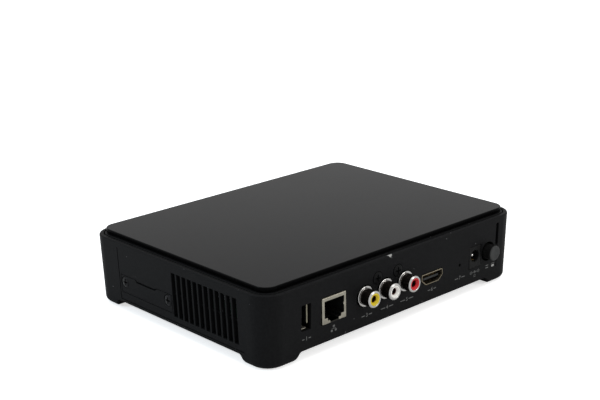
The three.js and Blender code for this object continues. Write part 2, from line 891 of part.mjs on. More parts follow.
function resetBody() {
  const { x, bodyHalf, bodyDepth, plungerRadius, plungerHold, travel } = resetSwitch;
  const body = block(
    about(x, bodyHalf),
    [resetBodyFront - bodyDepth, resetBodyFront],
    [onBoard, resetHeight + bodyHalf],
  );
  const pocket = [resetBodyFront - plungerHold - travel - fitGap, resetBodyFront + overrun];
  return body.subtract(rod("y", plungerRadius + slipGap, pocket, [x, resetHeight], screwSides));
}

function resetPlunger() {
  const { x, plungerRadius, plungerHold, plungerLength } = resetSwitch;
  const back = resetBodyFront - plungerHold;
  return rod("y", plungerRadius, [back, back + plungerLength], [x, resetHeight], screwSides);
}

// Power jack: a housing with a round bore, a centre pin and a leaf contact
const boreHeight = boardTop + powerJack.boreRise;

function jackHousing() {
  const { width, depth, boreRadius, boreDepth } = powerJack;
  const body = block(about(jackX, width / 2), [jackFront - depth, jackFront], jackHeights);
  const bore = rod("y", boreRadius, [jackFront - boreDepth, jackFront + overrun], [jackX, boreHeight]);
  return body.subtract(bore);
}

// The centre pin along +Z from the bore's floor, with a rounded tip.
function jackPin() {
  const { boreDepth, pinRadius, pinSetBack, tipAngles } = powerJack;
  const length = boreDepth - pinSetBack - seatGap;
  const tip = tipAngles.map((angle) => {
    const turn = THREE.MathUtils.degToRad(angle);
    return [pinRadius * Math.cos(turn), length - pinRadius + pinRadius * Math.sin(turn)];
  });
  return turned([[0, 0], [pinRadius, 0], [pinRadius, length - pinRadius], ...tip, [0, length]], screwSides);
}

function jackContact() {
  const { boreDepth, leafHalf, leafDrop, leafThickness, leafSetBack } = powerJack;
  const top = boreHeight - leafDrop;
  const back = jackFront - boreDepth + seatGap;
  return block(about(jackX, leafHalf), [back, jackFront - leafSetBack], [top - leafThickness, top]);
}

// Power switch: a round cap pushed on a square stem that slides in the switch's body
const capFront = rearFace(powerHeight) + powerSwitch.capProud;
const capBack = capFront - powerSwitch.capLength;
const switchFront = capBack - powerSwitch.travel - 2 * fitGap;
const stemBack = switchFront - powerSwitch.stemInBody;

function switchBody() {
  const { x, bodyHalf, bodyDepth, stemHalf, travel } = powerSwitch;
  const body = block(
    about(x, bodyHalf),
    [switchFront - bodyDepth, switchFront],
    [onBoard, powerHeight + bodyHalf],
  );
  const pocket = block(
    about(x, stemHalf + fitGap),
    [stemBack - travel - fitGap, switchFront + overrun],
    about(powerHeight, stemHalf + fitGap),
  );
  return body.subtract(pocket);
}

function switchStem() {
  const { x, stemHalf, stemInCap } = powerSwitch;
  return block(about(x, stemHalf), [stemBack, capBack + stemInCap], about(powerHeight, stemHalf));
}

// The cap along +Z from its back, its socket fitting the stem.
function buttonCap() {
  const { capRadius, capLength, capRound, stemHalf, stemInCap } = powerSwitch;
  const cap = turned([
    [0, 0],
    [capRadius, 0],
    [capRadius, capLength - capRound],
    [capRadius - capRound, capLength],
    [0, capLength],
  ]);
  const side = stemHalf + slipGap;
  return cap.subtract(block([-side, side], [-side, side], [-overrun, stemInCap + slipGap]));
}

function mainBoard() {
  const sheet = block([-boardEdge, boardEdge], [boardFront, boardRear], [boardUnderside, boardTop]);
  return boardScrewPlaces.reduce(
    (rest, at) => rest.subtract(rod("z", board.holeRadius, [0, rimHeight], at, screwSides)),
    sheet,
  );
}

// The card socket lies behind the door; the processor stands beside it, towards the rear.
const cardSpan = wider([cover.front + cover.doorInset, cover.rear - cover.doorInset], -slipGap);
const processorX = halfLength - processor.fromSide;
const processorY = cardSpan[1] + processor.fromCard + heatSink.half;

// Heat sink: a base with upright fins, as one comb drawn along Y
const sinkBottom = onBoard + processor.height + seatGap;

function finnedHeatSink() {
  const { half, base, height, fins, finThickness } = heatSink;
  const pitch = (2 * half - finThickness) / (fins - 1);
  const comb = [[processorX + half, sinkBottom]];
  for (let index = fins - 1; index >= 0; index--) {
    const left = processorX - half + index * pitch;
    comb.push([left + finThickness, sinkBottom + height], [left, sinkBottom + height]);
    if (index > 0) {
      comb.push([left, sinkBottom + base], [left - pitch + finThickness, sinkBottom + base]);
    }
  }
  comb.push([processorX - half, sinkBottom]);
  return prism("y", comb, about(processorY, half));
}

function cardSocketShell() {
  const { reach, height, slotHeight, slotInset, wallGap } = cardSocket;
  const mouth = sideFace(onBoard) - wallThickness - wallGap;
  const body = block([mouth - reach, mouth], cardSpan, [onBoard, onBoard + height]);
  const slot = block(
    [mouth - reach + slotInset, mouth + overrun],
    wider(cardSpan, -slotInset),
    about(onBoard + height / 2, slotHeight / 2),
  );
  return body.subtract(slot);
}

function cellHolder() {
  const { radius, height, holderWall, holderFloor } = coinCell;
  const inner = radius + fitGap;
  const outer = inner + holderWall;
  return turned([
    [0, 0],
    [outer, 0],
    [outer, holderFloor + height],
    [inner, holderFloor + height],
    [inner, holderFloor],
    [0, holderFloor],
  ]);
}

function cellDisc() {
  const { radius, height } = coinCell;
  const edge = fitGap;
  return turned([
    [0, 0],
    [radius - edge, 0],
    [radius, edge],
    [radius, height - edge],
    [radius - edge, height],
    [0, height],
  ]);
}

function powerInductor() {
  const { half, height, chamfer } = inductor;
  const cut = half - chamfer;
  const outline = [
    [cut, -half],
    [half, -cut],
    [half, cut],
    [cut, half],
    [-cut, half],
    [-half, cut],
    [-half, -cut],
    [-cut, -half],
  ];
  return prism("z", outline, [0, height]);
}

function canCapacitor() {
  const { radius, height, groove, grooveRise } = capacitor;
  return turned(
    [
      [0, 0],
      [radius, 0],
      [radius, grooveRise],
      [radius - groove, grooveRise + groove],
      [radius, grooveRise + 2 * groove],
      [radius, height - groove],
      [radius - groove, height],
      [0, height],
    ],
    screwSides,
  );
}

function infraredReceiver() {
  const { fromWindow, setBack, halfX, halfY, height, domeRadius, domeRise } = infrared;
  const x = windowX - fromWindow;
  const y = boardFront + setBack;
  const body = block(about(x, halfX), about(y, halfY), [onBoard, onBoard + height]);
  const dome = rod("y", domeRadius, [y - halfY - domeRadius / 2, y], [x, onBoard + domeRise], screwSides);
  return body.add(dome);
}

// A clear rod from behind the window, on a foot that stands on the board.
function statusLightPipe() {
  const { fromWindow, radius, rise, length, footHalf } = lightPipe;
  const x = windowX + fromWindow;
  const height = onBoard + rise;
  const front = -(rearFace(frontWindow.bottom) - wallThickness - fitGap);
  const barrel = rod("y", radius, [front, front + length], [x, height], screwSides);
  const foot = block(about(x, footHalf), [front + length - 2 * footHalf, front + length], [onBoard, height]);
  return barrel.add(foot);
}

// Disk on its bracket over the board's low parts, and the ribbon at its left end
const plateUnderside = onBoard + capacitor.height + bracket.clearance;
const plateTop = plateUnderside + bracket.sheet;
const diskBottom = plateTop + seatGap;
const diskSpanX = [disk.fromSide - halfLength, disk.fromSide - halfLength + disk.length];
const diskSpanY = [disk.fromFront - halfDepth, disk.fromFront - halfDepth + disk.width];

// Bracket: a plate between two sides, which stand over it as flanges and under it as four legs.
function diskBracket() {
  const { sheet, flange, legFrom, legLength, legPitch } = bracket;
  const [left, right] = diskSpanX;
  const sides = wider(diskSpanY, fitGap + sheet);
  const between = wider(diskSpanY, fitGap);
  const through = [left - overrun, right + overrun];
  const below = [onBoard - overrun, plateUnderside];
  const firstLeg = left + legFrom;
  const secondLeg = firstLeg + legPitch;
  return block([left, right], sides, [onBoard, plateTop + flange])
    .subtract(block(through, between, [plateTop, rimHeight]))
    .subtract(block(through, between, below))
    .subtract(block([through[0], firstLeg], wider(sides, overrun), below))
    .subtract(block([firstLeg + legLength, secondLeg], wider(sides, overrun), below))
    .subtract(block([secondLeg + legLength, through[1]], wider(sides, overrun), below));
}

function diskDrive() {
  const middleX = (diskSpanX[0] + diskSpanX[1]) / 2;
  const middleY = (diskSpanY[0] + diskSpanY[1]) / 2;
  const points = roundedOutline(disk.length / 2, disk.width / 2, disk.edgeRound).map(
    ({ x, y }) => new THREE.Vector2(middleX + x, middleY + y),
  );
  return stacked([
    { z: diskBottom, points },
    { z: diskBottom + disk.height, points },
  ]);
}

// Ribbon: a plug at the disk's end and a header on the board, joined by an upright strip.
function diskRibbon() {
  const { plug, plugHeight, halfWidth, thickness, rise } = ribbon;
  const near = diskSpanX[0] - fitGap;
  const far = near - plug;
  const plugBottom = diskBottom + rise;
  const outline = [
    [far - thickness, onBoard],
    [near, onBoard],
    [near, onBoard + plugHeight],
    [far, onBoard + plugHeight],
    [far, plugBottom],
    [near, plugBottom],
    [near, plugBottom + plugHeight],
    [far - thickness, plugBottom + plugHeight],
  ];
  return prism("y", outline, about((diskSpanY[0] + diskSpanY[1]) / 2, halfWidth));
}

// A finish by its colour, roughness and metalness.
function finish(color, roughness, metalness = 0) {
  return new THREE.MeshStandardMaterial({ color, roughness, metalness });
}

const caseBlack = finish(0x1f2022, 0.55);
const plateBlack = finish(0x0b0b0c, 0.12);
const adhesiveGrey = finish(0x2a2a2a, 0.9);
const screwSteel = finish(0xb9bcc0, 0.3, 1);
const screwBlack = finish(0x191919, 0.4, 0.8);
const tinPlate = finish(0xbab4a6, 0.35, 1);
const chrome = finish(0xd8d8d8, 0.12, 1);
const socketBlack = finish(0x111111, 0.5);
const tongueWhite = finish(0xe6e2d6, 0.6);
const goldPlate = finish(0xc79c4a, 0.3, 1);
const rubber = finish(0x161616, 0.95);
const boardGreen = finish(0x1d5a35, 0.5);
const chipBlack = finish(0x222326, 0.6);
const aluminium = finish(0xa9acb0, 0.4, 1);
const cellSteel = finish(0xc4c4c0, 0.25, 1);
const ribbonBrown = finish(0x8a5a1c, 0.6);
const lensBlack = finish(0x140708, 0.1);
const clearPipe = finish(0xe8eef2, 0.1);

// A named mesh of a solid, moved to where it belongs.
function part(name, shape, material, [x, y, z] = [0, 0, 0]) {
  const { vertProperties, triVerts } = shape.getMesh();
  const geometry = new THREE.BufferGeometry();
  geometry.setAttribute("position", new THREE.BufferAttribute(vertProperties, 3));
  geometry.setIndex(new THREE.BufferAttribute(triVerts, 1));
  geometry.computeVertexNormals();
  const mesh = new THREE.Mesh(geometry, material);
  mesh.name = name;
  mesh.position.set(x, y, z);
  return mesh;
}

// A mesh whose own +Z axis is turned to +Y or +X, or upside down.
const facingRear = (mesh) => mesh.rotateX(-quarterTurn);
const facingSide = (mesh) => mesh.rotateY(quarterTurn);
const facingDown = (mesh) => mesh.rotateX(2 * quarterTurn);

function casing() {
  const group = new THREE.Group();
  group.add(
    part("lower_case", lowerCase(), caseBlack),
    part("top_cover", topCover(), caseBlack),
    part("plate_adhesive", plateAdhesive(), adhesiveGrey),
    part("top_plate", topPlate(), plateBlack),
    part("side_cover_plate", sideCoverPlate(), caseBlack),
    part("front_window", wallSlice(windowBlock(cover.gap), 0, frontWindow.thickness), lensBlack),
  );
  coverScrewPlaces().forEach((y, index) => {
    const place = [coverScrewFace, y, coverScrewHeight];
    const name = ["cover_screw_front", "cover_screw_rear"][index];
    group.add(facingSide(part(name, crossHeadScrew(coverScrew, true), screwSteel, place)));
  });
  for (const [signX, signY, name] of corners) {
    const [x, y] = [signX * footCentreX, signY * footCentreY];
    const ring = turned([
      [pad.holeRadius, -padProud],
      [pad.radius, -padProud],
      [pad.radius, pad.recess - seatGap],
      [pad.holeRadius, pad.recess - seatGap],
      [pad.holeRadius, -padProud],
    ]);
    const screwAt = [x, y, caseScrew.sunk - seatGap];
    group.add(
      part("foot_pad_" + name, ring, rubber, [x, y, 0]),
      facingDown(part("case_screw_" + name, crossHeadScrew(caseScrew), screwSteel, screwAt)),
    );
  }
  return group;
}

function rearPanelParts() {
  const group = new THREE.Group();
  const barrelBack = socketFront + seatGap;
  group.add(
    part("type_a_shell", typeAShell(), tinPlate),
    part("type_a_tongue", typeATongue(), tongueWhite),
    part("network_jack_shield", networkShield(), tinPlate),
    part("network_jack_housing", networkHousing(), socketBlack),
    part("phono_body", phonoBody(), socketBlack),
    part("video_socket_shell", videoShell(), goldPlate),
    part("video_socket_tongue", videoTongue(), socketBlack),
    part("reset_switch_body", resetBody(), chipBlack),
    part("reset_switch_plunger", resetPlunger(), socketBlack),
    part("dc_jack_housing", jackHousing(), socketBlack),
    part("dc_jack_contact", jackContact(), goldPlate),
    part("power_switch_body", switchBody(), chipBlack),
    part("power_switch_plunger", switchStem(), socketBlack),
  );
  const pinAt = [jackX, jackFront - powerJack.boreDepth + seatGap, boreHeight];
  group.add(
    facingRear(part("dc_jack_pin", jackPin(), chrome, pinAt)),
    facingRear(part("power_button_cap", buttonCap(), caseBlack, [powerSwitch.x, capBack, powerHeight])),
  );
  Object.entries(phonoColours).forEach(([name, colour], index) => {
    const place = [phonoPlaces()[index], barrelBack, phonoHeight];
    group.add(
      facingRear(part("phono_barrel_" + name, phonoBarrel(), chrome, place)),
      facingRear(part("phono_insulator_" + name, phonoInsulator(), finish(colour, 0.45), place)),
    );
  });
  panelScrewPlaces().forEach((x, index) => {
    const face = rearFace(panelScrewHeight) - panelScrew.recessDepth + panelScrew.headHeight + slipGap;
    const name = ["panel_screw_left", "panel_screw_right"][index];
    group.add(facingRear(part(name, crossHeadScrew(panelScrew), screwBlack, [x, face, panelScrewHeight])));
  });
  return group;
}

function boardParts() {
  const group = new THREE.Group();
  const chip = block(about(0, memoryChip.halfX), about(0, memoryChip.halfY), [0, memoryChip.height]);
  const { half, height } = processor;
  const processorBlock = block(about(0, half), about(0, half), [0, height]);
  const memoryY = processorY + memoryChip.fromProcessor;
  const [memoryLeft, memoryRight] = about(halfLength - memoryChip.fromSide, memoryChip.pitch / 2);
  const inRow = (fromEdge, rise = 0) => [fromEdge - boardEdge, rowY, onBoard + rise];
  group.add(
    part("main_board", mainBoard(), boardGreen),
    part("processor", processorBlock, chipBlack, [processorX, processorY, onBoard]),
    part("heat_sink", finnedHeatSink(), aluminium),
    part("memory_chip_a", chip, chipBlack, [memoryLeft, memoryY, onBoard]),
    part("memory_chip_b", chip, chipBlack, [memoryRight, memoryY, onBoard]),
    part("card_socket", cardSocketShell(), tinPlate),
    part("coin_cell_holder", cellHolder(), socketBlack, inRow(coinCell.fromEdge)),
    part("coin_cell", cellDisc(), cellSteel, inRow(coinCell.fromEdge, coinCell.holderFloor + seatGap)),
    part("power_inductor", powerInductor(), chipBlack, inRow(inductor.fromEdge)),
    part("infrared_receiver", infraredReceiver(), lensBlack),
    part("status_light_pipe", statusLightPipe(), clearPipe),
  );
  for (const [name, fromEdge] of Object.entries(capacitorFromEdge)) {
    group.add(part(name, canCapacitor(), aluminium, inRow(fromEdge)));
  }
  boardScrewPlaces.forEach(([atX, atY], index) => {
    const face = onBoard + boardScrew.headHeight;
    group.add(part("board_screw_" + (index + 1), crossHeadScrew(boardScrew), screwSteel, [atX, atY, face]));
  });
  return group;
}

function diskParts() {
  const group = new THREE.Group();
  group.add(
    part("disk_bracket", diskBracket(), aluminium),
    part("disk_drive", diskDrive(), cellSteel),
    part("disk_cable", diskRibbon(), ribbonBrown),
  );
  return group;
}

// The parts are placed from the middle of the case; the barrels' reach moves the box's middle rearwards.
const recorder = new THREE.Group();
recorder.add(casing(), rearPanelParts(), boardParts(), diskParts());
recorder.position.set(0, -(phonoFront - halfDepth) / 2, padProud);

const root = new THREE.Group();
root.add(recorder);

export default root;
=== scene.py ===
# A black set-top recorder, seen from behind: the fine shapes, the finishes, the lamps and the camera.
# Shapes are drawn in millimetres from the middle of the case, standing on its feet, and turned to
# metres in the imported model's frame when a piece is finished.
from math import cos, hypot, pi, radians, sin, tan

import bmesh
import bpy
from mathutils import Matrix, Vector


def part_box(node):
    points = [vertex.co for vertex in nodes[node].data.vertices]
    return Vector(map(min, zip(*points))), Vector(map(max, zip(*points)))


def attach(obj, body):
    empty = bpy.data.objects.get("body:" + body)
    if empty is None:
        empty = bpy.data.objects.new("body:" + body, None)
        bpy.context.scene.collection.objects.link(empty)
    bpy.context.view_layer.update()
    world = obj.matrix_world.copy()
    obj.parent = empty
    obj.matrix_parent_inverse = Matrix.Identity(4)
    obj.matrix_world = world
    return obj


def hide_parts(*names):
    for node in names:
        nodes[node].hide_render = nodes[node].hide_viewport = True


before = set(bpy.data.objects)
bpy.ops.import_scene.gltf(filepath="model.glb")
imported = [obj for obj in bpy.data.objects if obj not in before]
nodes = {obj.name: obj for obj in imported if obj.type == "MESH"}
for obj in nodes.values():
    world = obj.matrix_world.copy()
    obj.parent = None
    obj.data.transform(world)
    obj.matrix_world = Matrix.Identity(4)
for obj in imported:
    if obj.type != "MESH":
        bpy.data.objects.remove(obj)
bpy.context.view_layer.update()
scene = bpy.context.scene
print("frame loaded,", len(nodes), "nodes")

mm = 0.001
past = 2  # how far a cutter reaches beyond the face it opens
tubLow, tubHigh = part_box("lower_case")
caseOrigin = Vector(((tubLow.x + tubHigh.x) / 2, (tubLow.y + tubHigh.y) / 2, tubLow.z))
toFrame = Matrix.Translation(caseOrigin) @ Matrix.Scale(mm, 4)


def span(node):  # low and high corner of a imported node, in millimetres from the middle of the case
    low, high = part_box(node)
    return (low - caseOrigin) / mm, (high - caseOrigin) / mm


def centre(node):
    low, high = span(node)
    return (low + high) / 2


# What the whole case is drawn from
case = {
    "draft": radians(2.25),
    "wall": 2.2,
    "cornerRadius": 11.5,
    "cornerSteps": 16,
    "rimRound": 0.8,
    "rimSteps": 6,
    "stretches": (14, 8),  # short lengths along each straight side, so that no wall face is cut too often
    "rows": 5,
}
case["rim"] = span("lower_case")[1].z
case["halfLength"] = span("lower_case")[1].x + case["rimRound"] * tan(case["draft"])
case["halfDepth"] = span("lower_case")[1].y + case["rimRound"] * tan(case["draft"])


def wallLean(z):
    return (case["rim"] - z) * tan(case["draft"])


def rearFace(z):
    return case["halfDepth"] - wallLean(z)


def sideFace(z):
    return case["halfLength"] - wallLean(z)


# Outlines are lists of (across, up)
def roundRect(halfX, halfY, radius, steps=8, middle=(0, 0)):
    points = []
    for corner in range(4):
        start = corner * pi / 2
        x = (halfX - radius) * (1 if corner in (0, 3) else -1) + middle[0]
        y = (halfY - radius) * (1 if corner in (0, 1) else -1) + middle[1]
        for step in range(steps + 1):
            angle = start + step / steps * pi / 2
            points.append((x + radius * cos(angle), y + radius * sin(angle)))
    return points


def boxed(x0, x1, y0, y1, radius, steps=4):  # the same, between two corners
    return roundRect((x1 - x0) / 2, (y1 - y0) / 2, radius, steps, ((x0 + x1) / 2, (y0 + y1) / 2))


def circle(radius, middle=(0, 0), steps=48):
    turns = [2 * pi * step / steps for step in range(steps)]
    return [(middle[0] + radius * cos(turn), middle[1] + radius * sin(turn)) for turn in turns]


def rounded(corners, closed=True, steps=5):  # corners are (across, up) or (across, up, radius)
    points = []
    count = len(corners)
    for index, corner in enumerate(corners):
        here = Vector(corner[:2])
        radius = corner[2] if len(corner) > 2 else 0
        atEnd = not closed and index in (0, count - 1)
        if atEnd or radius <= 0:
            points.append(tuple(here))
            continue
        back = (Vector(corners[index - 1][:2]) - here).normalized()
        ahead = (Vector(corners[(index + 1) % count][:2]) - here).normalized()
        half = back.angle(ahead) / 2
        middle = here + (back + ahead).normalized() * (radius / sin(half))
        first = here + back * (radius / tan(half)) - middle
        last = here + ahead * (radius / tan(half)) - middle
        sweep = first.angle(last)
        turn = sweep if first.x * last.y - first.y * last.x > 0 else -sweep
        for step in range(steps + 1):
            angle = turn * step / steps
            x = first.x * cos(angle) - first.y * sin(angle)
            y = first.x * sin(angle) + first.y * cos(angle)
            points.append((middle.x + x, middle.y + y))
    return points


def grown(points, amount):  # the outline with every side moved outwards
    if amount == 0:
        return points
    count = len(points)
    area = sum(points[i - 1][0] * points[i][1] - points[i][0] * points[i - 1][1] for i in range(count))
    outwards = amount if area > 0 else -amount
    moved = []
    for index in range(count):
        here = Vector(points[index])
        back = (here - Vector(points[index - 1])).normalized()
        ahead = (Vector(points[(index + 1) % count]) - here).normalized()
        sideA = Vector((back.y, -back.x))
        sideB = Vector((ahead.y, -ahead.x))
        moved.append(tuple(here + (sideA + sideB) * (outwards / (1 + sideA.dot(sideB)))))
    return moved


# Rings put an outline on a wall, moved out of the wall's face by some millimetres
def rearRing(outline, out):
    return [(x, rearFace(z) + out, z) for x, z in outline]


def sideRing(outline, out):
    return [(sideFace(z) + out, y, z) for y, z in outline]


def frontRing(outline, out):
    return [(x, -rearFace(z) - out, z) for x, z in outline]


def flatRing(outline, z):
    return [(x, y, z) for x, y in outline]


def uprightRing(outline, y):  # an upright outline of (x, z) that doesn't follow the leaning wall
    return [(x, y, z) for x, z in outline]


# Solids are (points, faces), so that several can go into one mesh
def loft(rings):
    count = len(rings[0])
    points = [point for ring in rings for point in ring]
    faces = []
    for start in range(0, count * (len(rings) - 1), count):
        for here in range(count):
            there = (here + 1) % count
            faces.append((start + here, start + there, start + count + there, start + count + here))
    last = count * (len(rings) - 1)
    return points, faces + [tuple(reversed(range(count))), tuple(range(last, last + count))]


def quarterRound(radius, steps=4):  # (sunk, grown) pairs round an outer edge, from inside to the face
    turns = [step / steps * pi / 2 for step in range(steps + 1)]
    return [(radius * (1 - sin(turn)), radius * (1 - cos(turn))) for turn in turns]


def punch(outline, ring, depth, edge, over=1.5):  # cuts a wall and eases the hole's outer edge
    levels = [(-depth, 0)] + [(-sunk, wide) for sunk, wide in quarterRound(edge)] + [(over, edge)]
    return loft([ring(grown(outline, wide), out) for out, wide in levels])


def plug(outline, ring, back, face, edge):  # a block with an eased outer edge
    levels = [(back, 0)] + [(face - sunk, -wide) for sunk, wide in quarterRound(edge)]
    return loft([ring(grown(outline, wide), out) for out, wide in levels])


def upright(outline, back, face, edge):  # the same, for an outline that doesn't follow the wall
    return plug(outline, uprightRing, back, face, edge)


facing = {  # the turn that carries +Z of a lathed piece to where it points
    "rear": Matrix(((-1, 0, 0), (0, 0, 1), (0, 1, 0))).to_4x4(),
    "side": Matrix(((0, 0, 1), (1, 0, 0), (0, 1, 0))).to_4x4(),
    "front": Matrix(((1, 0, 0), (0, 0, -1), (0, 1, 0))).to_4x4(),
    "down": Matrix(((1, 0, 0), (0, -1, 0), (0, 0, -1))).to_4x4(),
    "up": Matrix.Identity(4),
}


def turnedTo(way, place):
    return Matrix.Translation(Vector(place)) @ facing[way]


def lathe(profile, place, steps=48, closed=False):  # profile is (radius, height) along local +Z
    points = []
    rows = []
    for radius, height in profile:
        turns = [0] if radius == 0 else [2 * pi * step / steps for step in range(steps)]
        rows.append(list(range(len(points), len(points) + len(turns))))
        points += [tuple(place @ Vector((radius * cos(turn), radius * sin(turn), height))) for turn in turns]
    faces = []
    for low, high in list(zip(rows, rows[1:])) + ([(rows[-1], rows[0])] if closed else []):
        for here in range(steps):
            there = (here + 1) % steps
            if len(low) == 1:
                faces.append((low[0], high[there], high[here]))
            elif len(high) == 1:
                faces.append((low[here], low[there], high[0]))
            else:
                faces.append((low[here], low[there], high[there], high[here]))
    return points, faces


def rod(radius, low, high, place, steps=32):
    return lathe([(0, low), (radius, low), (radius, high), (0, high)], place, steps)


def strip(path, x, width, thickness):  # a flat spring in the upright plane through x, bent along (y, z)
    rings = []
    for index, point in enumerate(path):
        here = Vector(point)
        back = Vector(path[max(index - 1, 0)])
        ahead = Vector(path[min(index + 1, len(path) - 1)])
        along = (ahead - back).normalized()
        side = Vector((-along.y, along.x)) * thickness / 2
        ends = [(x - width / 2, here + side), (x + width / 2, here + side)]
        ends += [(x + width / 2, here - side), (x - width / 2, here - side)]
        rings.append([(across, at.x, at.y) for across, at in ends])
    return loft(rings)


def shape(name, *solids):
    points = []
    faces = []
    for solidPoints, solidFaces in solids:
        start = len(points)
        points += solidPoints
        faces += [tuple(corner + start for corner in face) for face in solidFaces]
    mesh = bpy.data.meshes.new(name)
    mesh.from_pydata(points, [], faces)
    work = bmesh.new()
    work.from_mesh(mesh)
    bmesh.ops.recalc_face_normals(work, faces=work.faces)
    work.to_mesh(mesh)
    work.free()
    piece = bpy.data.objects.new(name, mesh)
    scene.collection.objects.link(piece)
    return piece


def bakeModifiers(piece):
    ready = piece.evaluated_get(bpy.context.evaluated_depsgraph_get())
    mesh = bpy.data.meshes.new_from_object(ready)
    mesh.materials.clear()
    old = piece.data
    piece.modifiers.clear()
    piece.data = mesh
    bpy.data.meshes.remove(old)


def combine(piece, solids, operation):
    other = shape("cutter", *solids)
    cut = piece.modifiers.new("cut", "BOOLEAN")
    cut.object = other
    cut.operation = operation
    cut.solver = "MANIFOLD"
    before = len(piece.data.polygons)
    bakeModifiers(piece)
    if len(piece.data.polygons) < 6:
        print("the", operation.lower(), "left nothing of", piece.name, "which had", before, "faces")
    bpy.data.objects.remove(other)


def carve(piece, *solids):
    combine(piece, solids, "DIFFERENCE")


def weld(piece, *solids):
    combine(piece, solids, "UNION")


def evenShading(mesh, sharp):  # wide flat faces stay flat, and small rounded edges lean into them
    mesh.shade_smooth()
    work = bmesh.new()
    work.from_mesh(mesh)
    work.faces.ensure_lookup_table()
    group = [-1] * len(work.faces)
    areas = []
    for first in work.faces:
        if group[first.index] >= 0:
            continue
        group[first.index] = len(areas)
        area = 0
        waiting = [first]
        while waiting:
            face = waiting.pop()
            area += face.calc_area()
            for edge in face.edges:
                for other in edge.link_faces:
                    if group[other.index] < 0 and other.normal.dot(first.normal) > cos(radians(0.4)):
                        group[other.index] = len(areas)
                        waiting.append(other)
        areas.append(area)
    near = cos(radians(sharp))
    normals = []
    for face in work.faces:
        for loop in face.loops:
            around = [f for f in loop.vert.link_faces if f.normal.dot(face.normal) > near]
            lean = sum((f.normal * areas[group[f.index]] for f in around), Vector())
            normals.append(lean.normalized() if lean.length > 0 else face.normal.copy())
    work.free()
    mesh.normals_split_custom_set(normals)


def done(piece, finish, body="case", stands=(), sharp=32):
    evenShading(piece.data, sharp)
    piece.data.transform(toFrame)
    if finish:
        piece.data.materials.append(finish)
    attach(piece, body)
    if stands:
        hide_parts(*stands)
    return piece


def twoFinishes(piece, first, second, chosen):  # the second finish goes to the chosen faces
    piece.data.materials.append(first)
    piece.data.materials.append(second)
    for face in piece.data.polygons:
        face.material_index = 1 if chosen(face) else 0


# Finishes. Every pattern is laid by the piece's own place in metres.
def finish(name, colour, roughness, metallic=0.0, specular=0.5, **more):
    made = bpy.data.materials.new(name)
    made.use_nodes = True
    shader = made.node_tree.nodes["Principled BSDF"]
    shader.inputs["Base Color"].default_value = (*colour, 1)
    shader.inputs["Roughness"].default_value = roughness
    shader.inputs["Metallic"].default_value = metallic
    shader.inputs["Specular IOR Level"].default_value = specular
    for socket, value in more.items():
        shader.inputs[socket.replace("_", " ")].default_value = value
    return made


def shaderOf(made):
    return made.node_tree.nodes["Principled BSDF"]


def node(made, kind, **settings):
    new = made.node_tree.nodes.new(kind)
    for name, value in settings.items():
        setattr(new, name, value)
    return new


def link(made, fromSocket, toSocket):
    made.node_tree.links.new(fromSocket, toSocket)


def placeOf(made, stretch=(1, 1, 1)):
    spot = node(made, "ShaderNodeTexCoord")
    scaled = node(made, "ShaderNodeMapping")
    scaled.inputs["Scale"].default_value = stretch
    link(made, spot.outputs["Object"], scaled.inputs["Vector"])
    return scaled.outputs["Vector"]


def noiseOf(made, scale, detail=2.0, stretch=(1, 1, 1)):
    noise = node(made, "ShaderNodeTexNoise")
    noise.inputs["Scale"].default_value = scale
    noise.inputs["Detail"].default_value = detail
    link(made, placeOf(made, stretch), noise.inputs["Vector"])
    return noise.outputs["Fac"]


def mottled(made, socket, scale, low, high, detail=2.0, stretch=(1, 1, 1)):
    ramp = node(made, "ShaderNodeValToRGB")
    ramp.color_ramp.elements[0].position = 0.3
    ramp.color_ramp.elements[1].position = 0.7
    ramp.color_ramp.elements[0].color = (*low, 1) if isinstance(low, tuple) else (low, low, low, 1)
    ramp.color_ramp.elements[1].color = (*high, 1) if isinstance(high, tuple) else (high, high, high, 1)
    link(made, noiseOf(made, scale, detail, stretch), ramp.inputs["Fac"])
    link(made, ramp.outputs["Color"], shaderOf(made).inputs[socket])


def grained(made, scale, strength, distance, stretch=(1, 1, 1)):
    bump = node(made, "ShaderNodeBump")
    bump.inputs["Strength"].default_value = strength
    bump.inputs["Distance"].default_value = distance
    link(made, noiseOf(made, scale, 2.0, stretch), bump.inputs["Height"])
    link(made, bump.outputs["Normal"], shaderOf(made).inputs["Normal"])


def dusted(made, perMetre, size, share, colour):
    # specks: a few of the cells of a cell pattern hold one speck at their middle
    cells = node(made, "ShaderNodeTexVoronoi")
    cells.inputs["Scale"].default_value = perMetre
    link(made, placeOf(made), cells.inputs["Vector"])
    near = node(made, "ShaderNodeMapRange", interpolation_type="SMOOTHSTEP")
    near.inputs["From Min"].default_value = size
    near.inputs["From Max"].default_value = size * 0.5
    link(made, cells.outputs["Distance"], near.inputs["Value"])
    chosen = node(made, "ShaderNodeMath", operation="GREATER_THAN")
    chosen.inputs[1].default_value = 1 - share
    parts = node(made, "ShaderNodeSeparateColor")
    link(made, cells.outputs["Color"], parts.inputs["Color"])
    link(made, parts.outputs["Red"], chosen.inputs[0])
    mask = node(made, "ShaderNodeMath", operation="MULTIPLY")
    link(made, near.outputs["Result"], mask.inputs[0])
    link(made, chosen.outputs["Value"], mask.inputs[1])
    mix = node(made, "ShaderNodeMix", data_type="RGBA")
    base = shaderOf(made).inputs["Base Color"]
    if base.is_linked:
        link(made, base.links[0].from_socket, mix.inputs[6])
    else:
        mix.inputs[6].default_value = base.default_value
    mix.inputs[7].default_value = (*colour, 1)
    link(made, mask.outputs["Value"], mix.inputs[0])
    link(made, mix.outputs[2], base)


def blackPlastic():  # matt moulded case, fine spark grain, a little dust
    made = finish("black plastic", (0.006, 0.006, 0.0064), 0.5, specular=0.041)
    mottled(made, "Base Color", 900, (0.0048, 0.0049, 0.0052), (0.0069, 0.007, 0.0074))
    dusted(made, 190, 0.048, 0.9, (0.25, 0.25, 0.26))
    grained(made, 2600, 0.16, 0.00004)
    return made


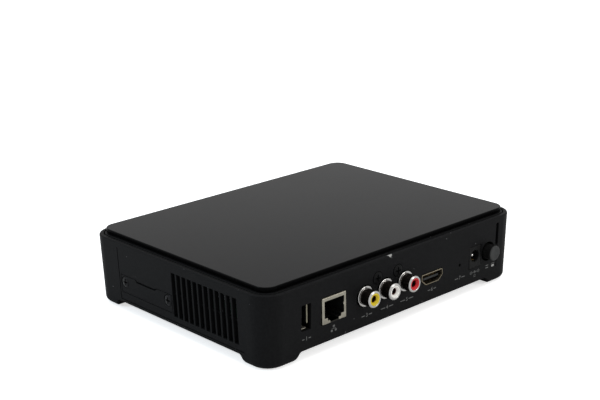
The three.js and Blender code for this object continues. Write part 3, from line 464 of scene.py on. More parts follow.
def ledgeBlack():  # the top plate's polished cut edge, coloured darker than its top as painted shade
    made = finish("plate edge, painted shade", (0.0009, 0.0009, 0.001), 0.25, specular=0.02)
    mottled(made, "Base Color", 500, (0.0006, 0.0006, 0.0007), (0.0012, 0.0012, 0.0013))
    dusted(made, 110, 0.02, 0.1, (0.12, 0.12, 0.12))
    return made


def plateGloss():  # glossy plate with a trace of dust
    made = finish("plate gloss", (0.0038, 0.0038, 0.004), 0.16, specular=0.036)
    mottled(made, "Roughness", 30, 0.13, 0.2, 3.0)
    mottled(made, "Base Color", 300, (0.0032, 0.0032, 0.0034), (0.005, 0.005, 0.0052))
    dusted(made, 60, 0.012, 0.1, (0.3, 0.3, 0.3))
    return made


def chrome():
    made = finish("barrel chrome", (0.45, 0.44, 0.425), 0.14, 1.0)
    mottled(made, "Roughness", 700, 0.11, 0.2)
    return made


def tinPlate(name, low, high):
    made = finish(name, low, 0.36, 1.0)
    mottled(made, "Base Color", 260, low, high, 4.0)
    grained(made, 1500, 0.12, 0.00003)
    return made


def plainPlastic(name, low, high, roughness, specular=0.3, scale=600):
    made = finish(name, low, roughness, specular=specular)
    mottled(made, "Base Color", scale, low, high)
    grained(made, 2200, 0.1, 0.00003)
    return made


def brushed(name, low, high, roughness, stretch=(30, 400, 30)):
    made = finish(name, low, roughness, 1.0)
    mottled(made, "Base Color", 6, low, high, 3.0, stretch)
    grained(made, 6, 0.1, 0.00003, stretch)
    return made


def boardLaminate():  # solder mask with a web of tracks under it
    made = finish("board laminate", (0.008, 0.06, 0.022), 0.35, specular=0.4)
    tracks = node(made, "ShaderNodeTexBrick")
    tracks.inputs["Scale"].default_value = 220
    tracks.inputs["Mortar Size"].default_value = 0.012
    tracks.inputs["Color1"].default_value = (0.008, 0.06, 0.022, 1)
    tracks.inputs["Color2"].default_value = (0.01, 0.07, 0.027, 1)
    tracks.inputs["Mortar"].default_value = (0.03, 0.14, 0.05, 1)
    link(made, placeOf(made), tracks.inputs["Vector"])
    link(made, tracks.outputs["Color"], shaderOf(made).inputs["Base Color"])
    return made


finishes = {
    "case": blackPlastic(),
    "plateEdgeShade": ledgeBlack(),
    "plate": plateGloss(),
    "chrome": chrome(),
    "tin": tinPlate("shield tin", (0.25, 0.235, 0.19), (0.33, 0.31, 0.255)),
    "shellTin": tinPlate("socket shell tin", (0.4, 0.37, 0.31), (0.55, 0.51, 0.43)),
    # tin coloured dark as painted shade inside the type A socket
    "paintedShadeTin": tinPlate("type A tin, painted shade", (0.018, 0.016, 0.013), (0.028, 0.025, 0.02)),
    "goldShell": tinPlate("video shell metal", (0.2, 0.17, 0.12), (0.27, 0.235, 0.17)),
    # the barrel's side: nickel coloured near black as a painted dark reflection
    "barrelPaintedReflection": tinPlate("barrel nickel, painted dark reflection", (0.028, 0.023, 0.02), (0.045, 0.037, 0.032)),
    "sill": plainPlastic("jack sill", (0.012, 0.011, 0.009), (0.02, 0.018, 0.014), 0.5, 0.15),
    "gold": tinPlate("gold contacts", (0.6, 0.4, 0.13), (0.75, 0.52, 0.2)),
    # the sleeve's brass is coloured dark red as painted shade deep in the core hole
    "sleeve": tinPlate("centre sleeve", (0.07, 0.01, 0.006), (0.12, 0.02, 0.01)),
    "steel": tinPlate("screw steel", (0.05, 0.05, 0.053), (0.085, 0.085, 0.09)),
    "coverScrew": tinPlate("cover screw", (0.008, 0.008, 0.0085), (0.014, 0.014, 0.015)),
    "blackSteel": plainPlastic("black screw", (0.0028, 0.0028, 0.0029), (0.0046, 0.0046, 0.0048), 0.4, 0.06),
    "socketBlack": plainPlastic("socket black", (0.004, 0.004, 0.004), (0.007, 0.007, 0.007), 0.45, 0.12),
    "jackFace": plainPlastic("jack black", (0.006, 0.006, 0.006), (0.009, 0.009, 0.009), 0.4, 0.06),
    "buttonFace": plainPlastic("button black", (0.016, 0.017, 0.017), (0.024, 0.025, 0.025), 0.45, 0.2),
    "tongue": plainPlastic("tongue plastic", (0.22, 0.205, 0.15), (0.28, 0.26, 0.19), 0.5),
    "yellow": plainPlastic("yellow insulator", (0.56, 0.42, 0.012), (0.66, 0.5, 0.018), 0.4),
    "white": plainPlastic("white insulator", (0.72, 0.7, 0.66), (0.85, 0.83, 0.79), 0.4),
    "red": plainPlastic("red insulator", (0.42, 0.006, 0.01), (0.55, 0.012, 0.016), 0.4),
    "rubber": plainPlastic("foot rubber", (0.012, 0.012, 0.012), (0.02, 0.02, 0.02), 0.9, 0.2),
    "foam": plainPlastic("adhesive foam", (0.02, 0.02, 0.02), (0.035, 0.035, 0.035), 0.95, 0.1),
    "chip": plainPlastic("chip epoxy", (0.02, 0.02, 0.022), (0.032, 0.032, 0.034), 0.6),
    "board": boardLaminate(),
    "aluminium": brushed("bare aluminium", (0.5, 0.51, 0.52), (0.62, 0.63, 0.64), 0.38),
    "cell": brushed("cell steel", (0.52, 0.52, 0.5), (0.6, 0.6, 0.58), 0.3),
    "ribbon": plainPlastic("ribbon film", (0.2, 0.09, 0.02), (0.3, 0.14, 0.03), 0.4),
    "window": plainPlastic("window smoke", (0.006, 0.002, 0.002), (0.01, 0.004, 0.004), 0.08, 0.5),
    "clear": plainPlastic("clear pipe", (0.55, 0.6, 0.62), (0.68, 0.72, 0.74), 0.12, 0.5),
    "print": plainPlastic("panel print", (0.09, 0.092, 0.09), (0.13, 0.132, 0.13), 0.7, 0.1, 1500),
    "mark": plainPlastic("white mark", (0.28, 0.28, 0.27), (0.36, 0.36, 0.35), 0.6, 0.1, 1500),
}
print("finishes made:", len(finishes))

# Lower case
tub = {
    "floorUnder": 4.75,
    "floorThick": 2.0,
    "footReach": (17.5, 15.2),
    "ramp": (5.5, 5.0),
    "rampSteps": 14,
    "footRound": (4.0, 3.2),
    "footSteps": 9,
    "topEase": 0.15,
}
floorTop = tub["floorUnder"] + tub["floorThick"]


def caseSection(z, inset):
    lean = wallLean(z) + inset
    steps = case["cornerSteps"]
    halfX = case["halfLength"] - lean
    halfY = case["halfDepth"] - lean
    corners = roundRect(halfX, halfY, case["cornerRadius"] - lean, steps)
    outline = []
    for corner in range(4):
        arc = corners[corner * (steps + 1):(corner + 1) * (steps + 1)]
        following = Vector(corners[(corner + 1) * (steps + 1) % len(corners)])
        count = case["stretches"][corner % 2]
        outline += arc + [tuple(Vector(arc[-1]).lerp(following, step / count)) for step in range(1, count)]
    return flatRing(outline, z)


def archOutline(halfSpan, ramp):
    right = [(halfSpan, -2.0)]
    for step in range(tub["rampSteps"] + 1):
        share = step / tub["rampSteps"]
        right.append((halfSpan - ramp * share, tub["floorUnder"] * (1 - cos(pi * share)) / 2))
    return right + [(-across, up) for across, up in reversed(right)]


def footRounds():  # (height, inset) pairs from the foot's flat underside up to the wall
    reach, rise = tub["footRound"]
    turns = [step / tub["footSteps"] * pi / 2 for step in range(tub["footSteps"] + 1)]
    return [(rise * (1 - cos(turn)), reach * (1 - sin(turn))) for turn in turns]


def lowerCase():
    rim = case["rim"]
    levels = footRounds()
    wallFrom = tub["footRound"][1]
    rise = (rim - case["rimRound"] - wallFrom) / case["rows"]
    levels += [(wallFrom + rise * row, 0) for row in range(1, case["rows"])]
    levels += [(rim - sunk, wide) for sunk, wide in quarterRound(case["rimRound"], case["rimSteps"])]
    piece = shape("lower_case_shell", loft([caseSection(z, inset) for z, inset in levels]))
    spanX = case["halfLength"] - tub["footReach"][0]
    spanY = case["halfDepth"] - tub["footReach"][1]
    along = archOutline(spanX, tub["ramp"][0])
    across = archOutline(spanY, tub["ramp"][1])
    wide = case["halfLength"] * 1.2
    carve(piece, loft([uprightRing(along, -wide), uprightRing(along, wide)]))
    carve(piece, loft([[(x, y, z) for y, z in across] for x in (-wide, wide)]))
    eased = case["wall"] - tub["topEase"]
    inside = [(floorTop, case["wall"]), (rim - tub["topEase"], case["wall"]), (rim, eased), (rim + past, eased)]
    carve(piece, loft([caseSection(z, inset) for z, inset in inside]))
    return piece


shell = lowerCase()
print("case tub drawn")

# Holes in the rear wall, each from the piece that sits in it
colours = ("yellow", "white", "red")
sides = ("left", "right")
caseCorners = ("front_left", "front_right", "rear_left", "rear_right")
rear = {
    "depth": 4.2,
    "slip": 0.12,
    "gap": 0.3,
    "edge": 0.22,
    "jackCorner": 0.15,
    "jackEdge": 0.05,
    "phonoHole": 5.55,
    "screwWell": 3.3,
    "screwWellDepth": 1.2,
    "screwHole": 1.7,
    "pinhole": 0.8,
    "smallEdge": 0.12,
    "switchHole": 5.1,
    "switchEdge": 0.34,
    "lockSlot": {"x": -73.8, "half": 0.95, "low": 21.5, "high": 33.5, "corner": 0.5},
    "groove": {"x": -74.3, "half": 0.25, "low": 8.9, "high": 33.5, "corner": 0.1, "depth": 0.4, "edge": 0.06},
}
video = {"shoulder": 2.6, "footHalf": 4.7, "top": 0.9, "bend": 0.5}


def boxOutline(node, grow, radius=0.3):
    low, high = span(node)
    return grown(boxed(low.x, high.x, low.z, high.z, radius), grow)


def roundOutline(node, radius, steps=48):
    at = centre(node)
    return circle(radius, (at.x, at.z), steps)


def slotOutline(slot, steps=4):
    x, half = slot["x"], slot["half"]
    return boxed(x - half, x + half, slot["low"], slot["high"], slot["corner"], steps)


def videoOutline(grow):
    low, high = span("video_socket_shell")
    x = (low.x + high.x) / 2
    half = (high.x - low.x) / 2
    right = [
        (video["footHalf"], low.z, video["bend"]),
        (half, low.z + video["shoulder"], video["bend"]),
        (half, high.z, video["top"]),
    ]
    left = [(-across, up, radius) for across, up, radius in reversed(right)]
    corners = [(x + across, up, radius) for across, up, radius in right + left]
    return grown(rounded(corners), grow)


def rearHoles():
    deep, edge = rear["depth"], rear["edge"]
    well, wellDepth, small = rear["screwWell"], rear["screwWellDepth"], rear["smallEdge"]
    holes = [
        (boxOutline("type_a_shell", rear["slip"]), deep, edge),
        (boxOutline("network_jack_shield", rear["gap"]), deep, edge),
        (videoOutline(rear["gap"]), deep, edge),
        (boxOutline("dc_jack_housing", rear["gap"], rear["jackCorner"]), deep, rear["jackEdge"]),
        (roundOutline("power_button_cap", rear["switchHole"]), deep, rear["switchEdge"]),
        (roundOutline("reset_switch_plunger", rear["pinhole"], 24), deep, small),
        (slotOutline(rear["lockSlot"]), deep, edge),
    ]
    for colour in colours:
        holes.append((roundOutline("phono_barrel_" + colour, rear["phonoHole"], 64), deep, edge))
    holes += [(roundOutline("panel_screw_" + side, well), wellDepth, small) for side in sides]
    return [punch(outline, rearRing, depth, ease) for outline, depth, ease in holes]


def rearSecondCuts():  # what overlaps a hole of the first round
    groove = rear["groove"]
    cuts = [punch(slotOutline(groove, 2), rearRing, groove["depth"], groove["edge"])]
    for side in sides:
        hole = roundOutline("panel_screw_" + side, rear["screwHole"], 24)
        cuts.append(punch(hole, rearRing, rear["depth"], 0.05, 0.2))
    return cuts


carve(shell, *rearHoles())
carve(shell, *rearSecondCuts())
print("rear wall cut")

# Side wall: grille, the recess of the cover plate, the card door behind it and the fine grooves
wallCut = 4.2
grille = {
    "count": 12,
    "start": -0.6,
    "pitch": 4.1,
    "slot": 2.9,
    "corner": 0.25,
    "low": 9.2,
    "high": 32.0,
    "rib": 1.0,
    "ribSetBack": 1.6,
}
cover = {
    "front": -43.2,
    "rear": -1.2,
    "low": 10.4,
    "high": 20.2,
    "thickness": 1.2,
    "gap": 0.3,
    "notchFront": -31.0,
    "notchRear": -13.1,
    "floorFront": -30.0,
    "floorRear": -15.2,
    "notchDepth": 1.7,
    "fingerSlot": 0.9,
    "doorInset": 6.7,
    "doorLip": 1.9,
    "doorCorner": 0.5,
    "screwHole": 1.4,
    "sinkMouth": 3.05,
    "bend": 0.35,
    "edge": 0.1,
}
sideGroove = {
    "front": -44.4,
    "rear": 51.0,
    "low": 6.35,
    "high": 33.9,
    "half": 0.25,
    "depth": 0.4,
    "edge": 0.06,
    "bend": 0.3,
}


def coverOutline(gap, notchFloor, notchGap):
    bend = cover["bend"]
    top = cover["high"] - gap
    return rounded(
        [
            (cover["front"] + gap, cover["low"] + gap, bend),
            (cover["rear"] - gap, cover["low"] + gap, bend),
            (cover["rear"] - gap, top, bend),
            (cover["notchRear"] - notchGap, top, bend),
            (cover["floorRear"] - notchGap, notchFloor, bend),
            (cover["floorFront"] + notchGap, notchFloor, bend / 2),
            (cover["notchFront"] + notchGap, top, bend / 2),
            (cover["front"] + gap, top, bend),
        ],
        steps=3,
    )


def grilleCuts():
    low, high = grille["low"], grille["high"]
    ribLow = (low + high - grille["rib"]) / 2
    heights = ((low, high), (low, ribLow), (ribLow + grille["rib"], high))
    shallow = []
    deep = []
    for index in range(grille["count"]):
        y = grille["start"] + index * grille["pitch"]
        slots = [boxed(y, y + grille["slot"], *ends, grille["corner"], 3) for ends in heights]
        shallow.append(punch(slots[0], sideRing, grille["ribSetBack"], 0.1))
        deep += [punch(slot, sideRing, wallCut, 0.01, 0.2) for slot in slots[1:]]
    return shallow, deep


def sideCuts():
    tab = cover["high"] - cover["notchDepth"] + cover["fingerSlot"]
    recess = punch(coverOutline(0, tab, cover["gap"]), sideRing, cover["thickness"] + 0.05, 0.06)
    low = cover["low"] + cover["doorLip"]
    high = cover["high"] - cover["notchDepth"] - cover["doorLip"]
    front = cover["front"] + cover["doorInset"]
    door = boxed(front, cover["rear"] - cover["doorInset"], low, high, cover["doorCorner"])
    groove = sideGroove
    bent = [
        (groove["front"] - groove["half"], groove["high"]),
        (groove["front"] - groove["half"], groove["low"] - groove["half"], groove["bend"]),
        (groove["rear"], groove["low"] - groove["half"]),
        (groove["rear"], groove["low"] + groove["half"]),
        (groove["front"] + groove["half"], groove["low"] + groove["half"], 0.1),
        (groove["front"] + groove["half"], groove["high"]),
    ]
    line = punch(rounded(bent, steps=3), sideRing, groove["depth"], groove["edge"])
    return [recess, line], [punch(door, sideRing, wallCut, 0.01, 0.2)]


for group in (*grilleCuts(), *sideCuts()):
    carve(shell, *group)
print("side wall cut")

# Front window recess, floor slots, bosses and posts
window = {
    "x": 54.0,
    "half": 18.0,
    "low": 15.0,
    "high": 25.0,
    "thickness": 1.4,
    "gap": 0.2,
    "corner": 1.0,
    "edge": 0.25,
}
floorVent = {"count": 10, "x": -58.0, "pitch": 6.5, "width": 2.6, "front": -42.0, "rear": -10.0}
posts = {
    "caseRadius": 3.5,
    "bossTop": 11.7,
    "inFloor": 1.0,
    "boardRadius": 3.0,
    "boardUnder": 11.55,
    "boardHole": 1.2,
    "coverRadius": 2.6,
    "coverLength": 4.0,
    "coverHole": 1.22,
    "padWell": 4.92,
    "padDepth": 0.85,
    "headWell": 3.0,
    "headDepth": 1.85,
    "shankHole": 1.7,
}


def windowOutline(grow):
    return grown(slotOutline(window, 6), grow)


def frontAndFloor(piece):
    carve(piece, punch(windowOutline(0), frontRing, window["thickness"] + 0.05, 0.12))
    carve(piece, punch(windowOutline(-window["thickness"]), frontRing, wallCut, 0.01, 0.2))
    slots = []
    for index in range(floorVent["count"]):
        x = floorVent["x"] + index * floorVent["pitch"]
        wide = floorVent["width"]
        outline = boxed(x, x + wide, floorVent["front"], floorVent["rear"], wide / 2 - 0.01, 8)
        slots.append(loft([flatRing(outline, 0), flatRing(outline, floorTop + past)]))
    carve(piece, *slots)


def rodsAt(spots, radius, low, high, steps=32):
    return [rod(radius, low, high, turnedTo("up", (at.x, at.y, 0)), steps) for at in spots]


def standOn(piece):
    spots = [centre("case_screw_" + corner) for corner in caseCorners]
    foot = floorTop - posts["inFloor"]
    weld(piece, *rodsAt(spots, posts["caseRadius"], foot, posts["bossTop"]))
    headTop = span("case_screw_front_left")[0].z + posts["headDepth"]
    carve(piece, *rodsAt(spots, posts["padWell"], -past, posts["padDepth"], 40))
    carve(piece, *rodsAt(spots, posts["headWell"], -past, headTop, 40))
    carve(piece, *rodsAt(spots, posts["shankHole"], -past, posts["bossTop"] + 1, 40))
    boards = [centre("board_screw_" + str(index)) for index in range(1, 5)]
    weld(piece, *rodsAt(boards, posts["boardRadius"], foot, posts["boardUnder"]))
    carve(piece, *rodsAt(boards, posts["boardHole"], floorTop, 20, 24))
    covers = [centre("cover_screw_front"), centre("cover_screw_rear")]
    inner = sideFace(covers[0].z) - case["wall"]
    places = [turnedTo("side", (0, at.y, at.z)) for at in covers]
    weld(piece, *[rod(posts["coverRadius"], inner - posts["coverLength"], inner + 1, at) for at in places])
    carve(piece, *[rod(posts["coverHole"], inner - 5, 95, at, 24) for at in places])


frontAndFloor(shell)
standOn(shell)
done(shell, finishes["case"], stands=["lower_case"])
print("lower case finished:", len(shell.data.polygons), "faces")

# Lid: a tray let in between the walls, with four screw bosses
lid = {
    "gap": 0.6,
    "thickness": 1.8,
    "lipDepth": 3.0,
    "lipWall": 1.4,
    "edge": 0.25,
    "underEase": 0.12,
    "bossRadius": 3.25,
    "bossEnd": 12.0,
    "pilot": 1.52,
    "pilotTop": 18.3,
}


def topCover():
    rim = case["rim"]
    inset = case["wall"] + lid["gap"]
    under = rim - lid["thickness"]
    low = under - lid["lipDepth"]
    levels = [(low, lid["underEase"]), (low + lid["underEase"], 0)]
    levels += [(rim - sunk, wide) for sunk, wide in quarterRound(lid["edge"])]
    piece = shape("lid_shell", loft([caseSection(z, inset + wide) for z, wide in levels]))
    hollow = inset + lid["lipWall"]
    carve(piece, loft([caseSection(low - past, hollow), caseSection(under, hollow)]))
    spots = [centre("case_screw_" + corner) for corner in caseCorners]
    weld(piece, *rodsAt(spots, lid["bossRadius"], lid["bossEnd"], rim - lid["thickness"] / 2))
    carve(piece, *rodsAt(spots, lid["pilot"], lid["bossEnd"] - past, lid["pilotTop"], 24))
    return piece


done(topCover(), finishes["case"], stands=["top_cover"])

# Top plate: gloss on its top, polished black on its cut edge, darkened there as painted shade
plate = {"corner": 6.6, "edge": 0.35, "edgeSteps": 6, "underEase": 0.1, "cornerSteps": 20}


def topPlate():
    low, high = span("top_plate")
    outline = roundRect(high.x, high.y, plate["corner"], plate["cornerSteps"])
    levels = [(low.z, -plate["underEase"]), (low.z + plate["underEase"], 0)]
    levels += [(high.z - sunk, -wide) for sunk, wide in quarterRound(plate["edge"], plate["edgeSteps"])]
    piece = shape("top_plate_gloss", loft([flatRing(grown(outline, wide), z) for z, wide in levels]))
    cutHeight = high.z - plate["edge"] * 0.85
    twoFinishes(piece, finishes["plateEdgeShade"], finishes["plate"], lambda face: face.center.z > cutHeight)
    return done(piece, None, stands=["top_plate"])


topPlate()
print("lid and plate finished")


# Screws with a crosshead recess, drawn along +Z with the head's edge at zero
def crossOutline(reach, half):
    quarter = [(reach, -half), (reach, half), (half, half, half * 0.7)]
    corners = []
    for turn in range(4):
        for corner in quarter:
            x, y = corner[:2]
            for _ in range(turn):
                x, y = -y, x
            corners.append((x, y, *corner[2:]))
    return rounded(corners, steps=3)


def crossScrew(node, way, place, size, metal):
    radius = size["head"]
    edge = size["edge"]
    flank = [(radius, -size["height"])] if not size.get("sunk") else []
    turns = [step / 7 * pi / 2 for step in range(7)]
    dome = [(radius * cos(turn), size["dome"] * sin(turn)) for turn in turns] + [(0, size["dome"])]
    end = -size["length"]
    profile = [(0, end + 0.6), (size["shank"] * 0.5, end + 0.2), (size["shank"], end + 1)]
    profile += [(size["shank"], -size["height"])] + flank + [(radius, -edge)] + dome
    at = turnedTo(way, place)
    piece = shape(node.replace("screw_", "screw_head_"), lathe(profile, at, 40))
    outline = crossOutline(radius * size["recess"], radius * 0.13)
    deep, top = size["deep"], size["dome"]
    levels = [(-deep, 0.3), (-deep * 0.7, 0.62), (top - 0.25, 1.0), (top + 0.4, 1.12)]
    rings = [[tuple(at @ Vector((x * share, y * share, z))) for x, y in outline] for z, share in levels]
    carve(piece, loft(rings))
    return done(piece, metal, stands=[node], sharp=38)


coverScrew = {
    "head": 2.75, "height": 1.0, "edge": 0.2, "dome": 0.42,
    "shank": 1.1, "length": 6.0, "recess": 0.6, "deep": 0.9, "sunk": True,
}
panelScrew = {
    "head": 3.0, "height": 1.5, "edge": 0.5, "dome": 0.3,
    "shank": 1.4, "length": 8.0, "recess": 0.58, "deep": 1.0,
}
caseScrew = {
    "head": 2.7, "height": 1.8, "edge": 0.5, "dome": 0.2,
    "shank": 1.4, "length": 15.4, "recess": 0.6, "deep": 1.1,
}


def allScrews():
    for node in ("cover_screw_front", "cover_screw_rear"):
        at = centre(node)
        place = (span(node)[1].x - coverScrew["dome"] * 0.3, at.y, at.z)
        crossScrew(node, "side", place, coverScrew, finishes["coverScrew"])
    for side in sides:
        node = "panel_screw_" + side
        at = centre(node)
        place = (at.x, span(node)[1].y - panelScrew["dome"], at.z)
        crossScrew(node, "rear", place, panelScrew, finishes["blackSteel"])
    for corner in caseCorners:
        node = "case_screw_" + corner
        at = centre(node)
        crossScrew(node, "down", (at.x, at.y, span(node)[0].z), caseScrew, finishes["steel"])


allScrews()


# Side cover plate, its notch leaving a finger slot under the wall's tab
def sideCover():
    outline = coverOutline(cover["gap"], cover["high"] - cover["notchDepth"], 0)
    piece = shape("side_cover", plug(outline, sideRing, -cover["thickness"], 0, cover["edge"]))
    hole, mouth = cover["screwHole"], cover["sinkMouth"]
    for end in ("front", "rear"):
        at = centre("cover_screw_" + end)
        face = span("cover_screw_" + end)[1].x
        sink = [(0, -3), (hole, -3), (hole, -1), (mouth, -0.25), (mouth, past), (0, past)]
        carve(piece, lathe(sink, turnedTo("side", (face, at.y, at.z)), 40))
    return done(piece, finishes["case"], stands=["side_cover_plate"])


sideCover()


# Front window and the rubber rings under the feet
def windowPane():
    pane = plug(windowOutline(-window["gap"]), frontRing, -window["thickness"], 0, window["edge"])
    return done(shape("window_pane", pane), finishes["window"], stands=["front_window"])


ring = {"inner": 3.2, "topEdge": 0.1, "footEdge": 0.18}


def footRings():
    inner, top, foot = ring["inner"], ring["topEdge"], ring["footEdge"]
    for corner in caseCorners:
        low, high = span("foot_pad_" + corner)
        outer = (high.x - low.x) / 2
        corners = [(inner, high.z, top), (outer, high.z, top), (outer, low.z, foot), (inner, low.z, foot)]
        at = turnedTo("up", ((low.x + high.x) / 2, (low.y + high.y) / 2, 0))
        piece = shape("foot_ring_" + corner, lathe(rounded(corners, steps=3), at, 48, closed=True))
        done(piece, finishes["rubber"], stands=["foot_pad_" + corner])


windowPane()
footRings()
print("screws, cover, window and feet finished")

# Type A socket: a folded shell, its leaf springs, and the tongue with four contacts
typeA = {
    "wall": 0.3,
    "bend": 0.55,
    "edge": 0.1,
    "setBack": 0.9,
    "leafWidth": 2.9,
    "leafThick": 0.4,
    "leafLength": 7,
    "leafLip": 0.5,
    "leafRise": 0.5,
    "leafFrom": 0.1,
    "leafAside": 0.15,
    "tongueAt": 1.2,
    "tongueHalf": 0.36,
    "tongueLow": 3.0,
    "tongueHigh": 0.7,
    "contactWidth": 1.0,
    "contactPitch": 2.2,
    "contactHalf": 0.06,
    "contactOut": 0.04,
}
tongueFoot = {"deep": 3, "bladeFrom": 2}  # a tongue's thick foot, and where its blade starts in it


def typeAShell():
    low, high = span("type_a_shell")
    outline = boxOutline("type_a_shell", 0, typeA["bend"])
    inner = grown(outline, -typeA["wall"])
    front = high.y - typeA["setBack"]
    piece = shape("type_a_can", upright(outline, low.y, front, typeA["edge"]))
    carve(piece, loft([uprightRing(inner, low.y + typeA["wall"]), uprightRing(inner, high.y + 1)]))
    # the shell's tin is coloured dark as painted shade inside the socket
    done(piece, finishes["paintedShadeTin"], stands=["type_a_shell"])
    bow = []
    for step in range(9):  # bottom leaf spring, its lip standing up at the mouth
        share = step / 8
        rise = typeA["leafLip"] * (1 - share) + typeA["leafRise"] * sin(pi * share)
        y = front - typeA["leafFrom"] - typeA["leafLength"] * share
        bow.append((y, low.z + typeA["wall"] + typeA["leafThick"] / 2 + rise))
    x = high.x - typeA["wall"] - typeA["leafAside"] - typeA["leafWidth"] / 2
    leaf = shape("type_a_leaf", strip(bow, x, typeA["leafWidth"], typeA["leafThick"]))
    done(leaf, finishes["shellTin"])


def typeATongue():
    low, high = span("type_a_tongue")
    shellLow, shellHigh = span("type_a_shell")
    x = shellLow.x + typeA["tongueAt"]
    half = typeA["tongueHalf"]
    base = boxed(low.x, high.x, low.z, high.z, 0.15, 2)
    bottom = shellLow.z + typeA["tongueLow"]
    top = shellHigh.z - typeA["tongueHigh"]
    slab = boxed(x - half, x + half, bottom, top, 0.2, 3)
    foot = low.y + tongueFoot["deep"]
    piece = shape("type_a_tongue_core", loft([uprightRing(base, low.y), uprightRing(base, foot)]))
    front = shellHigh.y - typeA["setBack"] - 0.1
    weld(piece, upright(slab, low.y + tongueFoot["bladeFrom"], front, 0.25))
    # all but the front edge gets black plastic as painted shade on the cream tongue
    twoFinishes(piece, finishes["socketBlack"], finishes["tongue"], lambda face: face.center.y > front - 0.3)
    done(piece, None, stands=["type_a_tongue"])
    contacts = []
    for index in range(4):
        z = (top + bottom) / 2 + (index - 1.5) * typeA["contactPitch"]
        at = (x + half + typeA["contactOut"], z)
        side = roundRect(typeA["contactHalf"], typeA["contactWidth"] / 2, typeA["contactHalf"] / 2, 2, at)
        contacts.append(loft([uprightRing(side, foot), uprightRing(side, front - 2)]))
    # the gold contacts get the dark tin as painted shade on the tongue's side
    done(shape("type_a_contacts", *contacts), finishes["paintedShadeTin"])


typeAShell()
typeATongue()

# Network jack: a shield with a soft folded edge round its mouth, and eight wires inside
network = {
    "bend": 0.5,
    "fold": 0.45,
    "wall": 0.3,
    "face": 0.4,
    "mouthHalf": 6.35,
    "mouthLow": 2.9,
    "mouthHigh": 11.35,
    "stepHalf": 4.3,
    "stepLow": 1.5,
    "latchHalf": 2.8,
    "latchLow": -1.0,
    "sill": 0.5,
    "sillSlip": 0.03,
    "sillDeep": 5,
    "sillBack": 0.25,
    "sillEdge": 0.1,
    "corner": 0.25,
    "mouthEdge": 0.1,
    "mouthDeep": 6,
    "fingerUp": 7.4,
    "fingerBack": (0.38, 0.06),
    # one spring finger reaches into the mouth from the far side: (across, up, bend)
    "finger": (
        (-0.8, -0.9, 0), (0.1, -0.9, 0.1), (0.5, -0.35, 0.2),
        (0.5, 0.35, 0.2), (0.1, 0.9, 0.1), (-0.8, 0.9, 0),
    ),
    "wires": 8,
    "wirePitch": 1.02,
    "wireWidth": 0.4,
    "wireThick": 0.3,
    # back from the face, down from the mouth's top
    "wirePath": ((2.4, 0.25), (3.2, 0.5), (10.2, 3.4), (11.4, 3.6)),
}


def networkMouth(grow=0):
    low, high = span("network_jack_shield")
    right = [
        (network["latchHalf"], network["latchLow"]),
        (network["latchHalf"], network["stepLow"]),
        (network["stepHalf"], network["stepLow"]),
        (network["stepHalf"], network["mouthLow"]),
        (network["mouthHalf"], network["mouthLow"]),
        (network["mouthHalf"], network["mouthHigh"]),
    ]
    left = [(-across, up) for across, up in reversed(right)]
    x = (low.x + high.x) / 2
    corners = [(x + across, low.z + up, network["corner"]) for across, up in right + left]
    return grown(rounded(corners, steps=3), grow)


def networkShield():
    low, high = span("network_jack_shield")
    outline = boxOutline("network_jack_shield", 0, network["bend"])
    piece = shape("network_shield", upright(outline, low.y, high.y, network["fold"]))
    inner = grown(outline, -network["wall"])
    inner = [(x, z if z > low.z + 3 else z - past) for x, z in inner]  # open underneath
    ends = (low.y + network["wall"], high.y - network["face"])
    carve(piece, loft([uprightRing(inner, y) for y in ends]))
    mouth = networkMouth()
    ease = network["mouthEdge"]
    levels = [(high.y - network["mouthDeep"], 0), (high.y - ease, 0), (high.y, ease), (high.y + 1, ease)]
    carve(piece, loft([uprightRing(grown(mouth, wide), y) for y, wide in levels]))
    x = (low.x + high.x) / 2
    at = (x - network["mouthHalf"], low.z + network["fingerUp"])
    finger = rounded([(at[0] + across, at[1] + up, radius) for across, up, radius in network["finger"]])
    weld(piece, loft([uprightRing(finger, high.y - back) for back in network["fingerBack"]]))
    done(piece, finishes["tin"], stands=["network_jack_shield"])
    half = network["latchHalf"] - network["sillSlip"]
    edge = network["sillEdge"]
    sill = boxed(x - half, x + half, low.z, low.z + network["sill"], edge, 2)
    bar = shape("network_sill", upright(sill, high.y - network["sillDeep"], high.y - network["sillBack"], edge))
    done(bar, finishes["sill"])


def networkWires():
    low, high = span("network_jack_housing")
    ceiling = span("network_jack_shield")[0].z + network["mouthHigh"]
    wires = []
    for index in range(network["wires"]):
        x = (low.x + high.x) / 2 + (index - (network["wires"] - 1) / 2) * network["wirePitch"]
        path = [(high.y - back, ceiling - down) for back, down in network["wirePath"]]
        wires.append(strip(path, x, network["wireWidth"], network["wireThick"]))
    done(shape("network_jack_wires", *wires), finishes["gold"])


networkShield()
networkWires()

# Phono sockets: flange, barrel with a rolled rim, coloured core and centre sleeve
phono = {
    "barrel": 4.2,
    "bore": 3.1,
    "flange": 5.15,
    "flangeProud": 0.8,
    "flangeEdge": 0.35,
    "rimRound": 0.75,
    "coreBack": 0.12,
    "coreSlip": 0.03,
    "funnel": 2.45,
    "funnelDeep": 0.95,
    "coreHole": 1.75,
    "coreHoleDepth": 8.0,
    "sleeveWall": 0.3,
}


